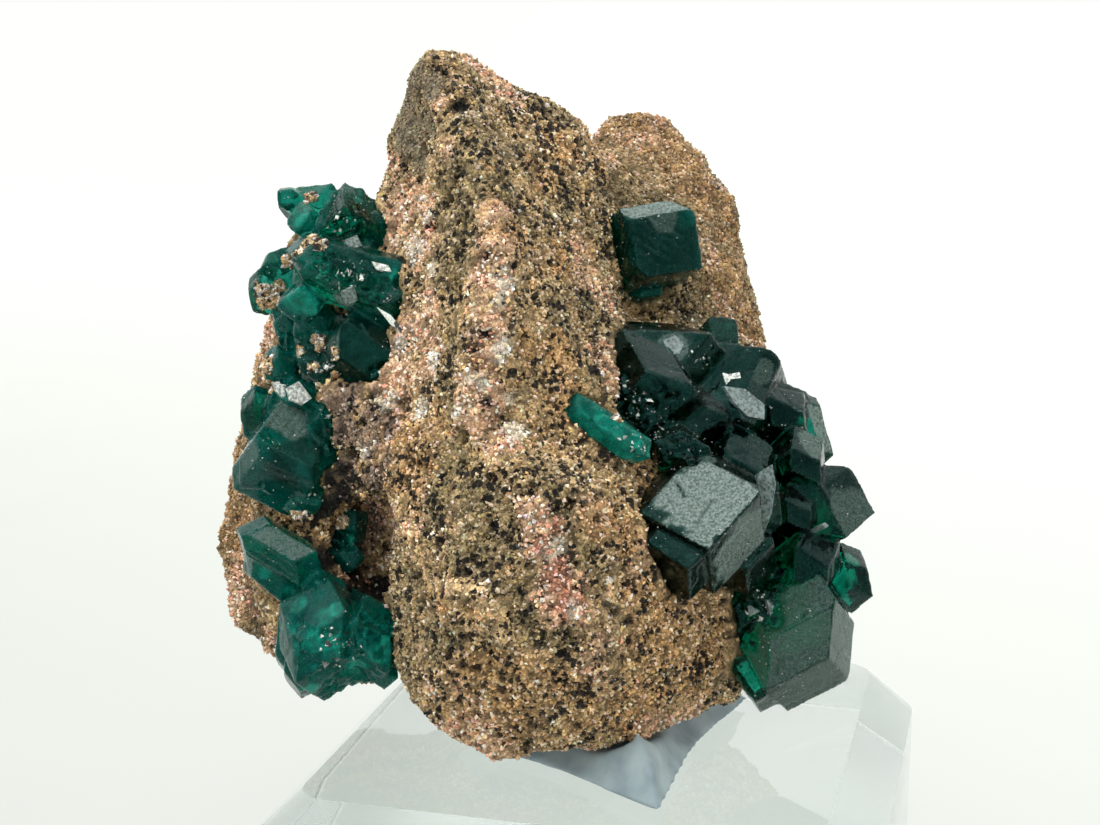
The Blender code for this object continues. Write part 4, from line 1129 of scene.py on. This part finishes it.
def blockOutline(inset, count):
    # a square with round corners, drawn in by inset: each quarter is an arc of the corner's radius
    # and the straight side that follows it
    radius = max(block["corner"] - inset * 0.6, 0.4)
    corner = block["side"] / 2.0 - inset - radius
    places = []
    for quarter in range(4):
        angles = math.pi / 2.0 * (quarter + np.linspace(0.0, 1.0, count))
        middle = math.pi / 2.0 * (quarter + 0.5)
        middle = corner * math.sqrt(2.0) * np.array((math.cos(middle), math.sin(middle)))
        places.append(middle + radius * np.stack([np.cos(angles), np.sin(angles)], axis=1))
    return np.concatenate(places)


def blockProfile():
    # the insets and heights from the underside up the side, over the bevel and in to the middle,
    # each turn rounded by edge
    height, bevel, edge = block["height"], block["bevel"], block["edge"]
    run = edge * math.tan(math.pi / 8.0)
    return [
        (12.0, 0.0), (edge, 0.0), (edge * 0.3, edge * 0.3), (0.0, edge), (0.0, height / 2.0),
        (0.0, height - bevel - run), (run * 0.12, height - bevel),
        (run * 0.75, height - bevel + run * 0.75), (bevel / 2.0, height - bevel / 2.0),
        (bevel - run * 0.75, height - run * 0.75), (bevel, height - run * 0.12),
        (bevel + run, height), (14.0, height),
    ]


def dressBlock():
    # the outline carried along the profile, closed at both ends and turned about the upright
    rings = []
    for inset, rise in blockProfile():
        ring = blockOutline(inset, block["around"] // 4)
        rings.append(np.column_stack([ring, np.full(len(ring), rise)]))
    around = len(rings[0])
    points = np.concatenate(rings)
    steps = np.arange(around)
    after = (steps + 1) % around
    cells = []
    for low in range(len(rings) - 1):
        low, high = low * around, (low + 1) * around
        cells += np.stack([low + steps, low + after, high + after, high + steps], 1).tolist()
    cells += [list(len(points) - around + steps), list(steps[::-1])]
    turn = math.radians(block["turn"])
    flat = np.array(((math.cos(turn), math.sin(turn)), (-math.sin(turn), math.cos(turn))))
    points[:, :2] = points[:, :2] @ flat
    piece = makePiece("clear_block_polished", points, cells, blockLook())
    hard = bmesh.new()
    hard.from_mesh(piece.data)
    for side in hard.edges:
        side.smooth = side.calc_face_angle(0.0) < math.radians(block["hardTurn"])
    hard.to_mesh(piece.data)
    hard.free()
    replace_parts(piece, "display_block")
    print("clear block done")


def blockLook():
    # clear and polished, faintly smeared, with a lightly sanded underside
    look, where = newLook("clear block")
    smear = where.noise(90.0, 4.0)
    sanded = where.along("Z").between(0.1 * mm, 0.2 * mm, 1.0, 0.0)
    shader = where.shader({
        "Base Color": smear.between(0.3, 0.7).mixed(block["clean"], block["smeared"]),
        "Roughness": smear.between(0.35, 0.7, 0.0, 0.06) + sanded * 0.6, "IOR": block["ior"],
        "Transmission Weight": 1.0, "Normal": where.noise(900.0, 2.0).bump(0.04, 0.05),
    })
    onSurface(shader, where.filled(block["absorbed"], block["density"]))
    return look


# Floor, light and camera; the floor, its glow and the lamps are in metres

studio = {
    "floorSize": 400.0, "floorDrop": 0.15 * mm, "floorColour": (0.12, 0.125, 0.118),
    "glowAcross": (-0.16, 0.12, 0.58, 0.74), "glowAway": (-0.1, 0.5, 0.0, 0.3),
    "glowRed": 0.96, "glowBlue": 0.94,
    "skyHigh": 1.2, "skyBack": 0.95, "skyFront": 0.58, "skyColour": (1.0, 1.0, 0.985),
    "lamps": [  # name, place, aim, width and height, power
        ("top softbox", (-0.15, -0.1, 0.75), (0.0, 0.0, 0.03), (0.9, 0.7), 4.8),
        ("left panel", (-0.7, -0.25, 0.35), (0.0, 0.0, 0.05), (0.5, 0.5), 1.5),
        ("front panel", (0.0, -0.8, 0.2), (0.0, 0.0, 0.04), (0.5, 0.4), 1.0),
    ],
    "eye": (-5.15, -151.7, 82.0), "pitch": 12.6, "lens": 60.2, "film": 36.0, "clip": (0.01, 500.0),
}


def areaLamp(name, place, aim, size, power):
    lamp = bpy.data.lights.new(name, "AREA")
    lamp.shape = "RECTANGLE"
    lamp.size, lamp.size_y = size
    lamp.energy = power
    holder = newObject(name, lamp)
    holder.location = place
    holder.rotation_mode = "QUATERNION"
    holder.rotation_quaternion = (Vector(aim) - Vector(place)).to_track_quat("-Z", "Y")
    holder.visible_glossy = False


def setFloor():
    # a wide sheet just under the block, with a soft glow that grows to the right and the back
    half, low = studio["floorSize"] / 2.0, -studio["floorDrop"]
    ground = bpy.data.meshes.new("floor")
    corners = [(-half, -half, low), (half, -half, low), (half, half, low), (-half, half, low)]
    ground.from_pydata(corners, [], [(0, 1, 2, 3)])
    look, where = newLook("pale floor")
    paper = where.noise(40.0, 2.0).between(0.0, 1.0, 0.98, 1.0)
    glow = where.along("X").between(*studio["glowAcross"]) + where.along("Y").between(*studio["glowAway"])
    glow = glow * paper
    parts = {0: glow * studio["glowRed"], 1: glow, 2: glow * studio["glowBlue"]}
    onSurface(where.shader({
        "Base Color": rgba(studio["floorColour"]), "Roughness": 0.9, "Specular IOR Level": 0.1,
        "Emission Color": where.node("CombineColor", values=parts), "Emission Strength": 1.0,
    }))
    ground.materials.append(look)
    floor = newObject("floor", ground)


def setSky():
    # brightest overhead, dimmer towards the viewer than at the back
    world = bpy.data.worlds.new("studio")
    where = emptied(world).node("TexCoord", out="Generated")
    wall = where.along("Y").between(-0.75, 0.1, studio["skyFront"], studio["skyBack"])
    strength = where.along("Z").between(0.35, 0.8) * (studio["skyHigh"] - wall) + wall
    shine = {"Color": rgba(studio["skyColour"]), "Strength": strength}
    where.node("OutputWorld", values={"Surface": where.node("Background", values=shine)})
    bpy.context.scene.world = world


def setCamera():
    view = bpy.data.cameras.new("camera")
    view.lens = studio["lens"]
    view.sensor_width = studio["film"]
    view.clip_start, view.clip_end = studio["clip"]
    camera = newObject("camera", view)
    camera.location = [part * mm for part in studio["eye"]]
    camera.rotation_euler = (math.radians(90.0 - studio["pitch"]), 0.0, 0.0)
    bpy.context.scene.camera = camera
    bpy.context.scene.view_settings.view_transform = "Standard"


setFloor()
setSky()
for lamp in studio["lamps"]:
    areaLamp(*lamp)
setCamera()
print("studio done")
crystalPoints, crystalFaces = dressCrystals()
points, faces, colour, calm, seat = rockNet(crystalPoints)
rockPiece = makePiece(
    "rock_surface", points, faces, rockLook(), numbers={"calm": calm}, tint=colour
)
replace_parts(rockPiece, "matrix_rock")
print(f"rock: {len(faces) * 2} triangles")
sandLook = grainLook()
sandGrains(points, faces, seat, sandLook)
rockBits(crystalPoints, crystalFaces, sandLook)
paleFlakesAndGlints(crystalPoints, crystalFaces, sandLook)
glintPlates()
dressPutty()
dressBlock()

bpy.context.view_layer.update()
